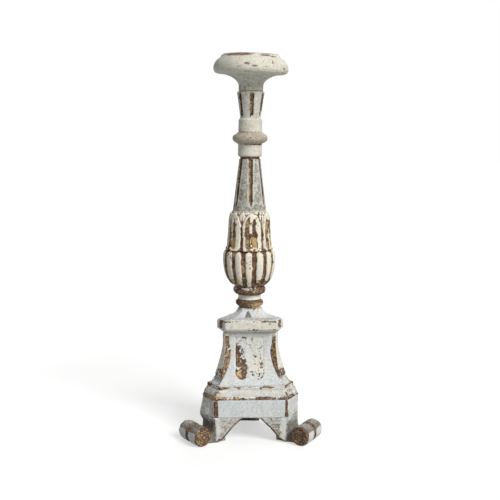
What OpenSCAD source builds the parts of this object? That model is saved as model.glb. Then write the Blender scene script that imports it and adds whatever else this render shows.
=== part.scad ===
// Carved and painted wooden candlestick on a three-sided base.
// The stem's axis is the Z axis and the floor is Z = 0.
// One long face of the base looks along -Y; its corners point to 90, 210 and 330 degrees.

/* [Heights of the stacked pieces] */
// Scroll feet, floor to plinth box
foot_h = 33; // [32:0.5:35]
// Plinth box
plinth_h = 23.5; // [22:0.5:25]
// Moulded board over the plinth box
board_h = 16.5; // [15:0.5:18]
// Three-sided pedestal
pedestal_h = 67; // [65:0.5:69]
// Cornice over the pedestal
cornice_h = 17.5; // [16.5:0.5:19]
// Hollow-sided roof over the cornice
roof_h = 13.5; // [12.5:0.5:15]
// Lower ring of the stem
low_ring_h = 11; // [10:0.5:12]
// Plain neck between the two rings
neck_h = 6; // [5:0.5:8]
// Upper ring of the stem
high_ring_h = 12; // [12:0.5:13]
// Gadrooned bulb
bulb_h = 48; // [46:0.5:50]
// Leaf cup
cup_h = 50.5; // [48:0.5:53]
// Fluted main stem
stem_h = 86; // [84:0.5:90]
// Knop ring
knop_h = 14.5; // [14.5:0.5:16]
// Fluted upper stem
upper_h = 52; // [51:0.5:54]
// Drip pan
pan_h = 46; // [45:0.5:48]

/* [Base] */
// Axis to the long faces of the plinth box
plinth_face = 45; // [44:0.5:46]
// Axis to the corner faces of the plinth box
plinth_corner = 64; // [63:0.5:65]
// Half of the flat top of the arch between two feet
arch_half = 10; // [8:0.5:12]
// Radius of a foot's rolled scroll
scroll_r = 12.2; // [11.5:0.1:13]
// Length of a foot's scroll across the corner
scroll_len = 46; // [42:1:50]
// Axis to the middle of a scroll
scroll_reach = 84; // [82:0.5:86]
// Axis to the long faces of the pedestal at its waist
waist_face = 20.5; // [20:0.25:21]
// Thickness of the pedestal's side panels
panel_t = 6; // [5:0.5:7]

/* [Stem] */
// Greatest radius of the bulb
bulb_r = 34.4; // [33:0.2:36]
// Number of lobes round the bulb
lobes = 14; // [12:1:16]
// Number of leaves round the cup and of flutes round the stem
leaves = 6; // [5:1:7]
// Radius of the stem's long dowel
dowel_r = 8; // [7:0.5:8]
// Gap left for glue round a tenon or dowel
glue_gap = 0.05; // [0.02:0.01:0.1]

/* [Top] */
// Greatest radius of the drip pan
pan_r = 48.3; // [47:0.1:50]
// Inner radius of the candle socket
socket_r = 11.25; // [10.5:0.05:11.5]
// Depth of the candle socket
socket_depth = 28.6; // [24:0.2:30]
// Wall of the sheet-metal socket
socket_wall = 1.4; // [1:0.1:1.6]
// Thickness of the sheet-metal liner and flange
tin_t = 0.8; // [0.6:0.1:1]

/* [Hidden] */
$fn = 96;

// Heights of the joints between the pieces
plinth_z = foot_h;
board_z = plinth_z + plinth_h;
pedestal_z = board_z + board_h;
cornice_z = pedestal_z + pedestal_h;
roof_z = cornice_z + cornice_h;
low_ring_z = roof_z + roof_h;
neck_z = low_ring_z + low_ring_h;
high_ring_z = neck_z + neck_h;
bulb_z = high_ring_z + high_ring_h;
cup_z = bulb_z + bulb_h;
stem_z = cup_z + cup_h;
knop_z = stem_z + stem_h;
upper_z = knop_z + knop_h;
pan_z = upper_z + upper_h;
pan_top = pan_z + pan_h;
liner_top = pan_top + tin_t;
socket_floor = liner_top + tin_t - socket_depth - 1;

// Sideways place of the plinth box's arrises on a long face
corner_x = (plinth_corner - plinth_face / 2) / cos(30);

far = 120;            // reach of the cutting slabs, clear of every piece
corner_half = 15;     // half width of a corner block
box_wall = 12;        // thickness of the plinth boards
block_back = 38;      // axis to the back of a corner block
stile_back = 24;      // axis to the back of a corner stile
corner_draw = 7.6;    // how far the moulded board's corners slope in on top
peg_r = 3;            // short dowels under the pedestal and over the feet
peg_reach = 52;       // axis to the dowels in the feet
peg_half = 7;         // half the distance between the two dowels of a foot
nail_r = 0.9;         // radius of a panel nail's shank
nail_length = 12;     // shank of a panel nail under its head
nail_x = 6;           // nail's place beside the middle of its panel
nail_z = 35;          // nail's place above the pedestal's foot
tack_reach = 27;      // axis to the liner's tacks
tenon_r = 7;          // round tenons of the upper stem and drip pan
knop_tenon = 27;      // tenon through the knop ring
pan_tenon = 20;       // tenon under the drip pan
bulb_socket = 6;      // how far the main stem's tenon enters the bulb
dowel_foot = cornice_z - 32;
dowel_head = bulb_z + 32;

wood = [0.86, 0.85, 0.80];
worn = [0.45, 0.30, 0.20];
gilt = [0.72, 0.60, 0.38];
tin = [0.55, 0.57, 0.55];
iron = [0.20, 0.18, 0.17];

// Points along an arc of an ellipse about c, with half axes a and b
function arc(c, a, b, from, to, n = 10) =
    [for (i = [0:n]) let (t = from + (to - from) * i / n) [c[0] + a * cos(t), c[1] + b * sin(t)]];

// Pedestal's long face: distance from the axis at height z above its foot
function face_at(z) = z < 47 ? waist_face + 9.5 * pow((47 - z) / 32, 1.6) : waist_face;

// Corner stile: reach of its outer edge, and half of its width, at height z
function stile_reach(z) = z < 55 ? 40.2 + 8.6 * pow((55 - z) / 42, 1.7) : 40.2;
function stile_half(z) = z < 55 ? 3.3 + 6 * pow((55 - z) / 42, 1.2) : 3.3;

// Heights at which a curved pedestal outline has a point
function levels(low, high, n) = [for (i = [0:n]) low + (high - low) * i / n];

// A solid turned from an outline of radius and height
module turned(outline) rotate_extrude() polygon(outline);

// A round bore through a height
module bore(r, low, high) translate([0, 0, low]) cylinder(r = r + glue_gap, h = high - low);

// Everything on the axis side of an outline, which is drawn as distance and height
module behind(outline)
    rotate([90, 0, 0])
        linear_extrude(height = 2 * far, center = true)
            polygon(concat([[-far, outline[0][1]]], outline, [[-far, outline[len(outline) - 1][1]]]));

// A three-sided solid with cut corners, from the outlines of its faces and of its corners
module three_sided(face_outline, corner_outline)
    intersection() {
        intersection_for(a = [30, 150, 270]) rotate([0, 0, a]) behind(face_outline);
        intersection_for(a = [90, 210, 330]) rotate([0, 0, a]) behind(corner_outline);
    }

// An outline of distance and height, pushed out to reach across the corner at angle a
module across(outline, width)
    rotate([90, 0, 0]) linear_extrude(height = width, center = true) polygon(outline);

// The strip between the two flanks of a corner stile, seen along its corner and running past
// both ends of the pedestal
module stile_strip()
    rotate([90, 0, 90])
        linear_extrude(height = far)
            polygon(concat(
                [for (z = levels(-2, pedestal_h + 2, 14)) [-stile_half(z), pedestal_z + z]],
                [for (z = levels(pedestal_h + 2, -2, 14)) [stile_half(z), pedestal_z + z]]));

// ---- Feet -------------------------------------------------------------------------------

// Edge of the arch under one half of a long face: sideways place and height
arch_edge = [[arch_half, plinth_z + 1], [arch_half, plinth_z], [24, 19.5], [36, 5], [40, 1.5], [46, -1]];

// The open half of the arch on a foot's side, with the foot's corner along +X
module arch_cut()
    rotate([0, 0, 30])
        rotate([90, 0, 0])
            linear_extrude(height = far)
                polygon(concat([[-far, -1], [-far, plinth_z + 1]], arch_edge));

// Plan of a foot's leg and its two brackets, each a board's thickness deep
module foot_plan()
    difference() {
        intersection() {
            translate([0, -far]) square([plinth_corner, 2 * far]);
            rotate(-60) translate([-far, -far]) square([far + plinth_face, 2 * far]);
            rotate(60) translate([-far, -far]) square([far + plinth_face, 2 * far]);
        }
        intersection() {
            translate([-far, -far]) square([far + block_back, 2 * far]);
            rotate(-60) translate([-far, -far]) square([far + plinth_face - box_wall, 2 * far]);
            rotate(60) translate([-far, -far]) square([far + plinth_face - box_wall, 2 * far]);
        }
    }

// A foot with its corner along +X: a leg between two brackets, and a rolled scroll in front
module foot() {
    strap_t = scroll_r * 0.7;
    color(wood)
        difference() {
            union() {
                difference() {
                    linear_extrude(height = plinth_z) foot_plan();
                    arch_cut();
                    mirror([0, 1, 0]) arch_cut();
                }
                // the leg's hollow front and the strap that runs out to the scroll
                across(concat(
                    [[block_back + 8, 0], [scroll_reach, 0], [scroll_reach, strap_t]],
                    arc([plinth_corner + 8, plinth_z - 2], 9, plinth_z - 2 - strap_t, 270, 180),
                    [[block_back + 8, plinth_z - 2]]), 2 * corner_half - 1);
                translate([scroll_reach, 0, scroll_r - 0.3])
                    rotate([90, 0, 0]) cylinder(r = scroll_r, h = scroll_len, center = true);
            }
            // groove round the middle of the scroll
            translate([scroll_reach, 0, scroll_r - 0.3])
                rotate([90, 0, 0]) rotate_extrude() translate([scroll_r + 1.2, 0]) circle(r = 3);
            // flat soles
            translate([0, -far, -far]) cube([2 * far, 2 * far, far]);
            foot_pegs(glue_gap);
        }
}

module foot_left() rotate([0, 0, 210]) foot();
module foot_right() rotate([0, 0, 330]) foot();
module foot_back() rotate([0, 0, 90]) foot();

// The two dowels between a foot at +X and its corner block
module foot_pegs(gap = 0)
    for (y = [-peg_half, peg_half])
        translate([peg_reach, y, plinth_z - 13 - gap])
            cylinder(r = peg_r + gap, h = 26 + 2 * gap, $fn = 48);

module foot_dowels() color(worn) for (a = [90, 210, 330]) rotate([0, 0, a]) foot_pegs();

// ---- Plinth box -------------------------------------------------------------------------

// A board of the box, behind the long face that looks along -Y, cut where the corners begin
module plinth_board()
    color(wood)
        difference() {
            translate([-corner_x, -plinth_face, plinth_z]) cube([2 * corner_x, box_wall, plinth_h]);
            for (a = [210, 330]) rotate([0, 0, a]) corner_band();
        }

// The space of a corner block and of what lies outside it, with the corner along +X
module corner_band()
    translate([0, -corner_half, plinth_z - 1]) cube([far, 2 * corner_half, plinth_h + 2]);

module plinth_board_front() plinth_board();
module plinth_board_right() rotate([0, 0, 120]) plinth_board();
module plinth_board_left() rotate([0, 0, 240]) plinth_board();

// A corner block of the box, with the corner along +X
module corner_block()
    color(wood)
        difference() {
            translate([block_back, -corner_half, plinth_z])
                cube([plinth_corner - block_back, 2 * corner_half, plinth_h]);
            foot_pegs(glue_gap);
        }

module corner_block_left() rotate([0, 0, 210]) corner_block();
module corner_block_right() rotate([0, 0, 330]) corner_block();
module corner_block_back() rotate([0, 0, 90]) corner_block();

// Glue blocks in the angle between the boards and the moulded board
module glue_blocks()
    color(worn)
        for (a = [0, 120, 240])
            rotate([0, 0, a])
                translate([0, box_wall - plinth_face, board_z])
                    rotate([90, 0, 90])
                        linear_extrude(height = 26, center = true)
                            polygon([[0, 0], [11, 0], [0, -11]]);

// ---- Moulded board ----------------------------------------------------------------------

// Edge of the moulded board at reach r under, drawn in by a distance t on top
function board_edge(r, t) = concat(
    [[r + 0.5, board_z], [r + 0.5, board_z + 2.2], [r - 1, board_z + 3]],
    arc([r - 2 * t, board_z + 4.5], 2 * t - 1, board_h - 7.5, 0, 60, 6),
    [[r - t + 0.4, board_z + board_h - 2], [r - t, board_z + board_h]]);

module moulded_board()
    color(wood)
        difference() {
            three_sided(board_edge(plinth_face, 2.6), board_edge(plinth_corner, corner_draw));
            core_pegs(glue_gap);
        }

// ---- Pedestal ---------------------------------------------------------------------------

module pedestal_core()
    color(worn)
        difference() {
            three_sided(
                [for (z = levels(0, pedestal_h, 14)) [face_at(z) - panel_t, pedestal_z + z]],
                [[stile_back, pedestal_z], [stile_back, cornice_z]]);
            bore(dowel_r, dowel_foot, cornice_z + 1);
            core_pegs(glue_gap);
            nails(glue_gap);
        }

// Three short dowels between the moulded board and the pedestal core
module core_pegs(gap = 0)
    for (a = [90, 210, 330])
        rotate([0, 0, a])
            translate([16, 0, pedestal_z - 10 - gap])
                cylinder(r = peg_r + gap, h = 22 + 2 * gap, $fn = 48);

module core_dowels() color(worn) core_pegs();

// A side panel behind the long face that looks along -Y, with its ends against the stiles
module side_panel()
    color(wood)
        difference() {
            intersection() {
                rotate([0, 0, 270])
                    across(concat(
                        [for (z = levels(0, pedestal_h, 14)) [face_at(z), pedestal_z + z]],
                        [for (z = levels(pedestal_h, 0, 14)) [face_at(z) - panel_t, pedestal_z + z]]),
                    2 * plinth_corner);
                translate([0, 0, pedestal_z - 1])
                    linear_extrude(height = pedestal_h + 2)
                        polygon(2 * plinth_corner * [[0, 0], [cos(210), sin(210)], [cos(330), sin(330)]]);
            }
            for (a = [210, 330]) rotate([0, 0, a]) stile_strip();
            nails(glue_gap);
        }

module side_panel_front() side_panel();
module side_panel_right() rotate([0, 0, 120]) side_panel();
module side_panel_left() rotate([0, 0, 240]) side_panel();

// One forged nail through each side panel into the core
module nails(gap = 0)
    for (a = [0, 120, 240])
        rotate([0, 0, a])
            translate([nail_x, 0, pedestal_z + nail_z])
                rotate([90, 0, 0]) {
                    translate([0, 0, waist_face - nail_length])
                        cylinder(r = nail_r + gap, h = nail_length, $fn = 32);
                    translate([0, 0, waist_face - 0.6])
                        cylinder(r = nail_r * 1.7 + gap, h = gap > 0 ? 4 : 0.9, $fn = 32);
                }

module panel_nails() color(iron) nails();

// A corner stile along +X: a post whose raised outer edge tapers upward over a flared foot
module corner_stile()
    color(gilt)
        intersection() {
            stile_strip();
            across(concat(
                [[stile_back, pedestal_z]],
                [[plinth_corner - 9.5, pedestal_z]],
                arc([plinth_corner - 9.5, pedestal_z + 9], 8.6, 8, 270, 200, 6),
                [[46.5, pedestal_z + 8.4], [48.4, pedestal_z + 10.5]],
                [for (z = levels(13, pedestal_h, 13)) [stile_reach(z), pedestal_z + z]],
                [[stile_back, cornice_z]]),
                2 * far);
        }

module corner_stile_left() rotate([0, 0, 210]) corner_stile();
module corner_stile_right() rotate([0, 0, 330]) corner_stile();
module corner_stile_back() rotate([0, 0, 90]) corner_stile();

// ---- Cornice and roof -------------------------------------------------------------------

// Edge of the cornice, from its cove of height c up to its flat face, for a top reach of r and
// a foot of s
function cornice_edge(r, s, c) = concat(
    arc([r - 2, cornice_z], r - 2 - s, c, 180, 90, 6),
    [[r - 1, cornice_z + c], [r - 1, cornice_z + 5.4]],
    [[r, cornice_z + 6], [r, cornice_z + cornice_h - 1.2], [r - 1.2, cornice_z + cornice_h]]);

module cornice()
    color(wood)
        difference() {
            three_sided(cornice_edge(waist_face + 10.6, waist_face, 4.6), cornice_edge(44.2, 40.2, 2.2));
            bore(dowel_r, cornice_z - 1, roof_z + 1);
        }

// Edge of the roof: hollow between reach s at the foot and reach t at the top
function roof_edge(s, t) = concat(
    [[s, roof_z], [s, roof_z + 0.8]],
    arc([s, low_ring_z], s - t, roof_h - 0.8, 270, 180, 8));

module roof_block()
    color(wood)
        difference() {
            three_sided(roof_edge(29.2, 13), roof_edge(42, 15.2));
            bore(dowel_r, roof_z - 1, low_ring_z + 1);
        }

module centre_dowel()
    color(worn) translate([0, 0, dowel_foot]) cylinder(r = dowel_r, h = dowel_head - dowel_foot);

// ---- Rings and neck ---------------------------------------------------------------------

// A turned ring: a sleeve with a round bead of radius b at height m, and a hole through it
module beaded_ring(low, height, sleeve, b, m, hole)
    difference() {
        rotate_extrude() {
            translate([0, low]) square([sleeve, height]);
            intersection() {
                translate([sleeve, m]) circle(r = b);
                translate([0, low]) square([far, height]);
            }
        }
        bore(hole, low - 1, low + height + 1);
    }

module low_ring()
    color(worn) beaded_ring(low_ring_z, low_ring_h, 14, 4.5, low_ring_z + 6.3, dowel_r);

module stem_neck()
    color(wood)
        difference() {
            turned(concat(
                [[dowel_r - 1, neck_z], [15, neck_z]],
                arc([19.5, neck_z + neck_h / 2], 5, neck_h / 2, 240, 120, 6),
                [[15, high_ring_z], [dowel_r - 1, high_ring_z]]));
            bore(dowel_r, neck_z - 1, high_ring_z + 1);
        }

module high_ring()
    color(worn) beaded_ring(high_ring_z, high_ring_h, 15.8, 5.8, high_ring_z + 6.1, dowel_r);

// ---- Bulb and cup -----------------------------------------------------------------------

// Outline of the bulb, drawn in by a distance t
function bulb_outline(t) = concat(
    [[0, bulb_z], [18, bulb_z]],
    arc([17.5, bulb_z + 34], bulb_r - 17.5 - t, 34 - t, 275, 360, 9),
    arc([bulb_r - 4, cup_z - 8.4], 4 - t, 5, 0, 70, 3),
    [[bulb_r - 2.8 - t, cup_z], [0, cup_z]]);

module gadroon_bulb()
    color(wood)
        difference() {
            union() {
                turned(bulb_outline(1.8));
                intersection() {
                    turned(bulb_outline(0));
                    for (i = [0:lobes - 1])
                        rotate([0, 0, 270 + i * 360 / lobes])
                            translate([bulb_r - 7, 0, bulb_z]) cylinder(r = 6.6, h = bulb_h - 4, $fn = 48);
                }
            }
            bore(dowel_r, bulb_z - 1, dowel_head);
            bore(dowel_r, cup_z - bulb_socket - 0.3, cup_z + 1);
        }

// Outline of the leaf cup, drawn in by a distance t
function cup_outline(t) = concat(
    [[0, cup_z], [31.6 - t / 2, cup_z]],
    arc([32.2 - t, cup_z + 6.5], 3, 6, 265, 180, 5),
    arc([18 - t, cup_z + 10], 10.8, 60, 0, 37, 7),
    [[24.6 - t, stem_z - 1.7], [21.8 - t / 2, stem_z], [0, stem_z]]);

module leaf_cup()
    color(wood)
        difference() {
            union() {
                turned(cup_outline(2));
                intersection() {
                    turned(cup_outline(0));
                    for (i = [0:leaves - 1]) rotate([0, 0, 270 + i * 360 / leaves]) leaf();
                }
            }
            bore(dowel_r, cup_z - 1, stem_z + 1);
        }

// A round-topped leaf standing out along +X
module leaf()
    rotate([90, 0, 90])
        linear_extrude(height = far)
            polygon(concat(
                [[-12.6, cup_z], [12.6, cup_z]],
                arc([0, cup_z + cup_h - 16], 12.6, 13.5, 0, 180, 14)));

// ---- Stem -------------------------------------------------------------------------------

// A tapered flute cut in a tapering shaft, from radius r0 at height z0 to radius r1 at height z1
module flute(r0, z0, r1, z1, c0, c1)
    translate([r0, 0, z0])
        rotate([0, atan2(r1 - r0, z1 - z0), 0])
            cylinder(r1 = c0, r2 = c1, h = norm([r1 - r0, z1 - z0]), $fn = 32);

module main_stem()
    color(wood)
        difference() {
            union() {
                turned(concat(
                    [[0, stem_z], [21.6, stem_z], [21.4, stem_z + 2]],
                    [[13.9, stem_z + 64], [13.9, stem_z + 66.6], [12.6, stem_z + 67]],
                    [[12.6, stem_z + 69.2], [13.9, stem_z + 69.6]],
                    arc([13.4, stem_z + 72], 1.9, 2.2, 280, 360, 4),
                    [[15.3, knop_z - 3], [15.6, knop_z], [0, knop_z]]));
                translate([0, 0, cup_z - bulb_socket]) cylinder(r = dowel_r, h = cup_h + bulb_socket + 1);
            }
            for (i = [0:leaves - 1])
                rotate([0, 0, 270 + i * 360 / leaves])
                    flute(21.6, stem_z + 5, 15.2, stem_z + 63, 0.8, 3.4);
            bore(tenon_r, upper_z - knop_tenon, knop_z + 1);
        }

module knop_ring()
    color(gilt) beaded_ring(knop_z, knop_h, 15.6, 7.1, knop_z + 7.25, tenon_r);

module upper_stem()
    color(wood)
        difference() {
            union() {
                turned(concat(
                    [[0, upper_z], [14.6, upper_z], [15.1, upper_z + 1.5], [15.1, upper_z + 15.5]],
                    arc([13.1, upper_z + 15.5], 2, 2.2, 15, 80, 4),
                    [[13.1, upper_z + 18.2], [13.2, upper_z + 20.5]],
                    [[17.3, pan_z - 2.5], [17.3, pan_z], [0, pan_z]]));
                translate([0, 0, upper_z - knop_tenon]) cylinder(r = tenon_r, h = knop_tenon + 1);
            }
            for (i = [0:leaves - 1])
                rotate([0, 0, 270 + i * 360 / leaves])
                    flute(14.2, upper_z + 20.5, 18.4, pan_z - 2.6, 2.4, 3.2);
            bore(tenon_r, pan_z - pan_tenon, pan_z + 1);
        }

// ---- Top --------------------------------------------------------------------------------

module drip_pan()
    color(wood)
        difference() {
            union() {
                turned(concat(
                    [[0, pan_z], [15.6, pan_z]],
                    arc([44, pan_z + 6.5], 28.4, 16, 180, 90, 10),
                    [[46, pan_z + 24]],
                    arc([pan_r - 15.8, pan_z + 28], 15.8, 15.6, -12, 66, 9),
                    [[37.5, pan_top], [0, pan_top]]));
                translate([0, 0, pan_z - pan_tenon]) cylinder(r = tenon_r, h = pan_tenon + 1);
            }
            bore(socket_r + socket_wall, socket_floor, pan_top + 1);
            tacks(glue_gap);
        }

module pan_liner()
    color(tin)
        difference() {
            translate([0, 0, pan_top]) {
                cylinder(r = 35.5, h = tin_t);
                rotate_extrude() translate([35.5, tin_t / 2]) circle(r = tin_t / 2, $fn = 24);
            }
            bore(socket_r + socket_wall, pan_top - 1, liner_top + 1);
            tacks(glue_gap);
        }

// A sheet-metal tube with a floor and a flange that lies on the liner
module candle_socket()
    color(tin)
        difference() {
            union() {
                translate([0, 0, socket_floor])
                    cylinder(r = socket_r + socket_wall, h = liner_top - socket_floor);
                translate([0, 0, liner_top]) cylinder(r = socket_r + 6, h = tin_t);
            }
            translate([0, 0, socket_floor + 1]) cylinder(r = socket_r, h = socket_depth + 1);
        }

// Four tacks that hold the liner down
module tacks(gap = 0)
    for (a = [45:90:315])
        rotate([0, 0, a])
            translate([tack_reach, 0, pan_top]) {
                translate([0, 0, -8]) cylinder(r = 0.8 + gap, h = 8 + tin_t + gap, $fn = 24);
                if (gap == 0) translate([0, 0, tin_t]) cylinder(r = 2, h = 0.7, $fn = 32);
            }

module liner_tacks() color(iron) tacks();

foot_left();
foot_right();
foot_back();
foot_dowels();
plinth_board_front();
plinth_board_right();
plinth_board_left();
corner_block_left();
corner_block_right();
corner_block_back();
glue_blocks();
moulded_board();
pedestal_core();
core_dowels();
side_panel_front();
side_panel_right();
side_panel_left();
panel_nails();
corner_stile_left();
corner_stile_right();
corner_stile_back();
cornice();
roof_block();
centre_dowel();
low_ring();
stem_neck();
high_ring();
gadroon_bulb();
leaf_cup();
main_stem();
knop_ring();
upper_stem();
drip_pan();
pan_liner();
candle_socket();
liner_tacks();
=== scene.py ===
# %% [markdown]
# # A carved and painted candlestick
# The real piece is a turned and carved wooden stem on a three-sided base with rolled feet.
# Old workshops covered such wood with gesso, then red-brown bole, then gold leaf, and later
# owners painted it off-white. Long handling wore the paint through on every
# arris, so the brown ground and a little gold show again. The script loads the measured
# CAD model as its frame, gives every part that shows its carved shape and its worn skin,
# and stands the whole thing in a plain pale studio.

import math

import bpy
import numpy as np
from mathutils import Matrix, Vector


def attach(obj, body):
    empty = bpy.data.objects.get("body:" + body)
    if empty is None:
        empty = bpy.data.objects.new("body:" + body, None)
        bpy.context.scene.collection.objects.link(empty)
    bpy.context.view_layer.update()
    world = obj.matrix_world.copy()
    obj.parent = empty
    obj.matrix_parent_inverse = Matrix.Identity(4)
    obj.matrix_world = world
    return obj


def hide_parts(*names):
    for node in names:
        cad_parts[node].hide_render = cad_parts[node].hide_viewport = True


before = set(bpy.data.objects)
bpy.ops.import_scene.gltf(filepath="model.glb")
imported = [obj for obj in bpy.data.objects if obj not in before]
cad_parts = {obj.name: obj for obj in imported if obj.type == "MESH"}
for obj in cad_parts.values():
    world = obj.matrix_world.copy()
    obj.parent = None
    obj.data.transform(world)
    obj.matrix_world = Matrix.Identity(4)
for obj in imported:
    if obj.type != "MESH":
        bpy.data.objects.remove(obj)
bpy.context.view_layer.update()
MM = 1000.0  # the frame is in metres, and a carver thinks in millimetres
print("CAD pieces:", len(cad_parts))

# %% [markdown]
# ## The room
# Soft daylight comes from the front and the right, and the left sides fall into a gentle
# shade. A far, wide lamp lights the whole floor evenly and makes soft shadows, a white
# surround fills them, and the pale floor throws a little light up under the drip pan. Floor
# and surround look brighter to the camera than they shine on the piece, which keeps the
# modelling of the carving readable.

# %% Camera
scene = bpy.context.scene
scene.view_settings.view_transform = "Standard"
camera = bpy.data.objects.new("camera", bpy.data.cameras.new("camera"))
camera.data.lens = 68.4
camera.data.sensor_width = 36
camera.location = (-0.0388, -1.2344, 0.4086)
camera.rotation_euler = (math.radians(82.504), 0, math.radians(-1.8))
scene.collection.objects.link(camera)
scene.camera = camera
print("camera is", round(camera.location.length, 3), "m from the foot of the stem")


# %% Window light
def daylight(name, azimuth, height, strength, spread):
    """A soft far lamp: the side it comes from, its height in degrees, and how wide it looks."""
    data = bpy.data.lights.new(name, "SUN")
    data.energy = strength
    data.angle = math.radians(spread)
    made = bpy.data.objects.new(name, data)
    side, up = math.radians(azimuth), math.radians(height)
    towards = Vector((math.cos(side) * math.cos(up), math.sin(side) * math.cos(up), math.sin(up)))
    made.rotation_euler = towards.to_track_quat("Z", "Y").to_euler()
    scene.collection.objects.link(made)
    return made


daylight("key_light", 306, 38, 2.9, 28)
daylight("back_light", 60, 35, 0.7, 40)


# %% Surround and floor
def add_node(tree, kind, inputs=None, **settings):
    """A shader node with its settings made and its inputs filled or linked."""
    made = tree.nodes.new(kind)
    for key, value in settings.items():
        setattr(made, key, value)
    for socket, value in (inputs or {}).items():
        if isinstance(value, bpy.types.NodeSocket):
            tree.links.new(value, made.inputs[socket])
        else:
            made.inputs[socket].default_value = value
    return made


SURROUND_GLOW = 0.22
world = bpy.data.worlds.new("surround")
scene.world = world
world.use_nodes = True
world.node_tree.nodes.clear()
seen = add_node(world.node_tree, "ShaderNodeLightPath").outputs["Is Camera Ray"]
strength = add_node(world.node_tree, "ShaderNodeMapRange",
                    {"Value": seen, "To Min": SURROUND_GLOW, "To Max": 1.0}).outputs["Result"]
glow = add_node(world.node_tree, "ShaderNodeBackground",
                {"Color": (1, 1, 1, 1), "Strength": strength})
add_node(world.node_tree, "ShaderNodeOutputWorld", {"Surface": glow.outputs[0]})

floor_mesh = bpy.data.meshes.new("floor")
floor_mesh.from_pydata([(-9, -9, -0.0003), (9, -9, -0.0003), (9, 9, -0.0003), (-9, 9, -0.0003)],
                       [], [(0, 1, 2, 3)])
floor = bpy.data.objects.new("floor", floor_mesh)
scene.collection.objects.link(floor)
floor_finish = bpy.data.materials.new("pale_floor")
floor_finish.use_nodes = True
floor_skin = floor_finish.node_tree.nodes["Principled BSDF"]
floor_skin.inputs["Base Color"].default_value = (0.52, 0.52, 0.515, 1)
floor_skin.inputs["Roughness"].default_value = 0.9
floor_skin.inputs["Emission Strength"].default_value = 1.0
seen = add_node(floor_finish.node_tree, "ShaderNodeLightPath").outputs["Is Camera Ray"]
lift = add_node(floor_finish.node_tree, "ShaderNodeMapRange", {"Value": seen, "To Max": 0.56})
floor_finish.node_tree.links.new(lift.outputs["Result"], floor_skin.inputs["Emission Color"])
floor_mesh.materials.append(floor_finish)
print("floor is", floor.dimensions[0], "m wide")


# %% [markdown]
# ## Chance, kept in hand
# Hand work is never even, but it isn't noise either: it has a scale. A gouge leaves hollows
# as wide as itself and paint flakes a few millimetres at a time. One small function gives a
# smooth random field with blotches of a chosen size, and the same seed always gives the same
# field, so the piece comes out alike each time.

# %% Random fields
def blotches(points, size, seed):
    """A smooth random field from -1 to 1 at points in mm, with blotches about size mm wide."""
    cell = points / size + seed * np.array([7.31, 3.77, 5.13])
    corner = np.floor(cell).astype(np.int64)
    near = cell - corner
    near = near * near * (3 - 2 * near)
    field = np.zeros(len(points))
    for step in np.ndindex(2, 2, 2):
        key = ((corner[:, 0] + step[0]) * 73856093
               ^ (corner[:, 1] + step[1]) * 19349663
               ^ (corner[:, 2] + step[2]) * 83492791)
        key = (key ^ (key >> 13)) * 1274126177
        key = (key ^ (key >> 16)) & 0xFFFFF
        share = np.prod(np.where(step, near, 1 - near), axis=1)
        field += share * key / 0xFFFFF
    return field * 2 - 1


def ragged(points, size, seed):
    """Blotches with two finer sets laid over them, for torn and crumbled edges."""
    return (blotches(points, size, seed) + 0.6 * blotches(points, size / 2.2, seed + 11)
            + 0.35 * blotches(points, size / 4.7, seed + 23)) / 1.4


def ramp(value, low, high):
    """0 below low, 1 above high, and a soft S between them."""
    t = np.clip((value - low) / (high - low), 0, 1)
    return t * t * (3 - 2 * t)


spot = np.array([[10.0, 20.0, 30.0]])
print("a field at one spot:", round(float(ragged(spot, 6, 1)[0]), 3))


# %% [markdown]
# ## From numbers to a Blender piece
# A piece is a mesh whose points are moved in bulk as arrays, because a carved skin needs
# tens of thousands of them. These helpers read and write the points, average a value with
# its neighbours, and measure how sharply the surface stands out. An arris stands above the
# average of its neighbours and a hollow lies under it, and that one number decides where
# hands have rubbed and where dirt has stayed.

# %% Mesh helpers
def new_piece(name, points, faces):
    """A mesh object from points in mm."""
    mesh = bpy.data.meshes.new(name)
    mesh.from_pydata((points / MM).tolist(), [], faces)
    mesh.shade_smooth()
    piece = bpy.data.objects.new(name, mesh)
    scene.collection.objects.link(piece)
    return piece


def read_points(piece):
    """The points of a piece, in mm."""
    flat = np.empty(len(piece.data.vertices) * 3, np.float32)
    piece.data.vertices.foreach_get("co", flat)
    return flat.reshape(-1, 3).astype(float) * MM


def write_points(piece, points):
    """Puts points in mm back into a piece."""
    piece.data.vertices.foreach_set("co", (points / MM).astype(np.float32).ravel())
    piece.data.update()


def read_normals(piece):
    """The outward direction at each point."""
    flat = np.empty(len(piece.data.vertices) * 3, np.float32)
    piece.data.vertex_normals.foreach_get("vector", flat)
    return flat.reshape(-1, 3).astype(float)


def read_edges(piece):
    """The two points of each edge."""
    flat = np.empty(len(piece.data.edges) * 2, np.int32)
    piece.data.edges.foreach_get("vertices", flat)
    return flat.reshape(-1, 2)


def spread(values, edges, passes):
    """Values averaged with their neighbours' a number of times."""
    a, b = edges[:, 0], edges[:, 1]
    count = len(values)
    degree = np.maximum(np.bincount(a, minlength=count) + np.bincount(b, minlength=count), 1)
    columns = values.reshape(count, -1).copy()
    for _ in range(passes):
        for c in range(columns.shape[1]):
            column = columns[:, c]
            total = (np.bincount(a, column[b], count) + np.bincount(b, column[a], count))
            columns[:, c] = 0.5 * column + 0.5 * total / degree
    return columns.reshape(values.shape)


def stand_out(piece, passes=14):
    """How far each point stands above (+) or under (-) the smoothed surface, in mm."""
    points = read_points(piece)
    smooth = spread(points, read_edges(piece), passes)
    return np.sum((points - smooth) * read_normals(piece), axis=1)


def keep_field(piece, name, values):
    """Stores one number for each point, for the finish to read."""
    layer = piece.data.attributes.new(name, "FLOAT", "POINT")
    layer.data.foreach_set("value", np.asarray(values, np.float32))


print("helpers ready")


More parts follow.
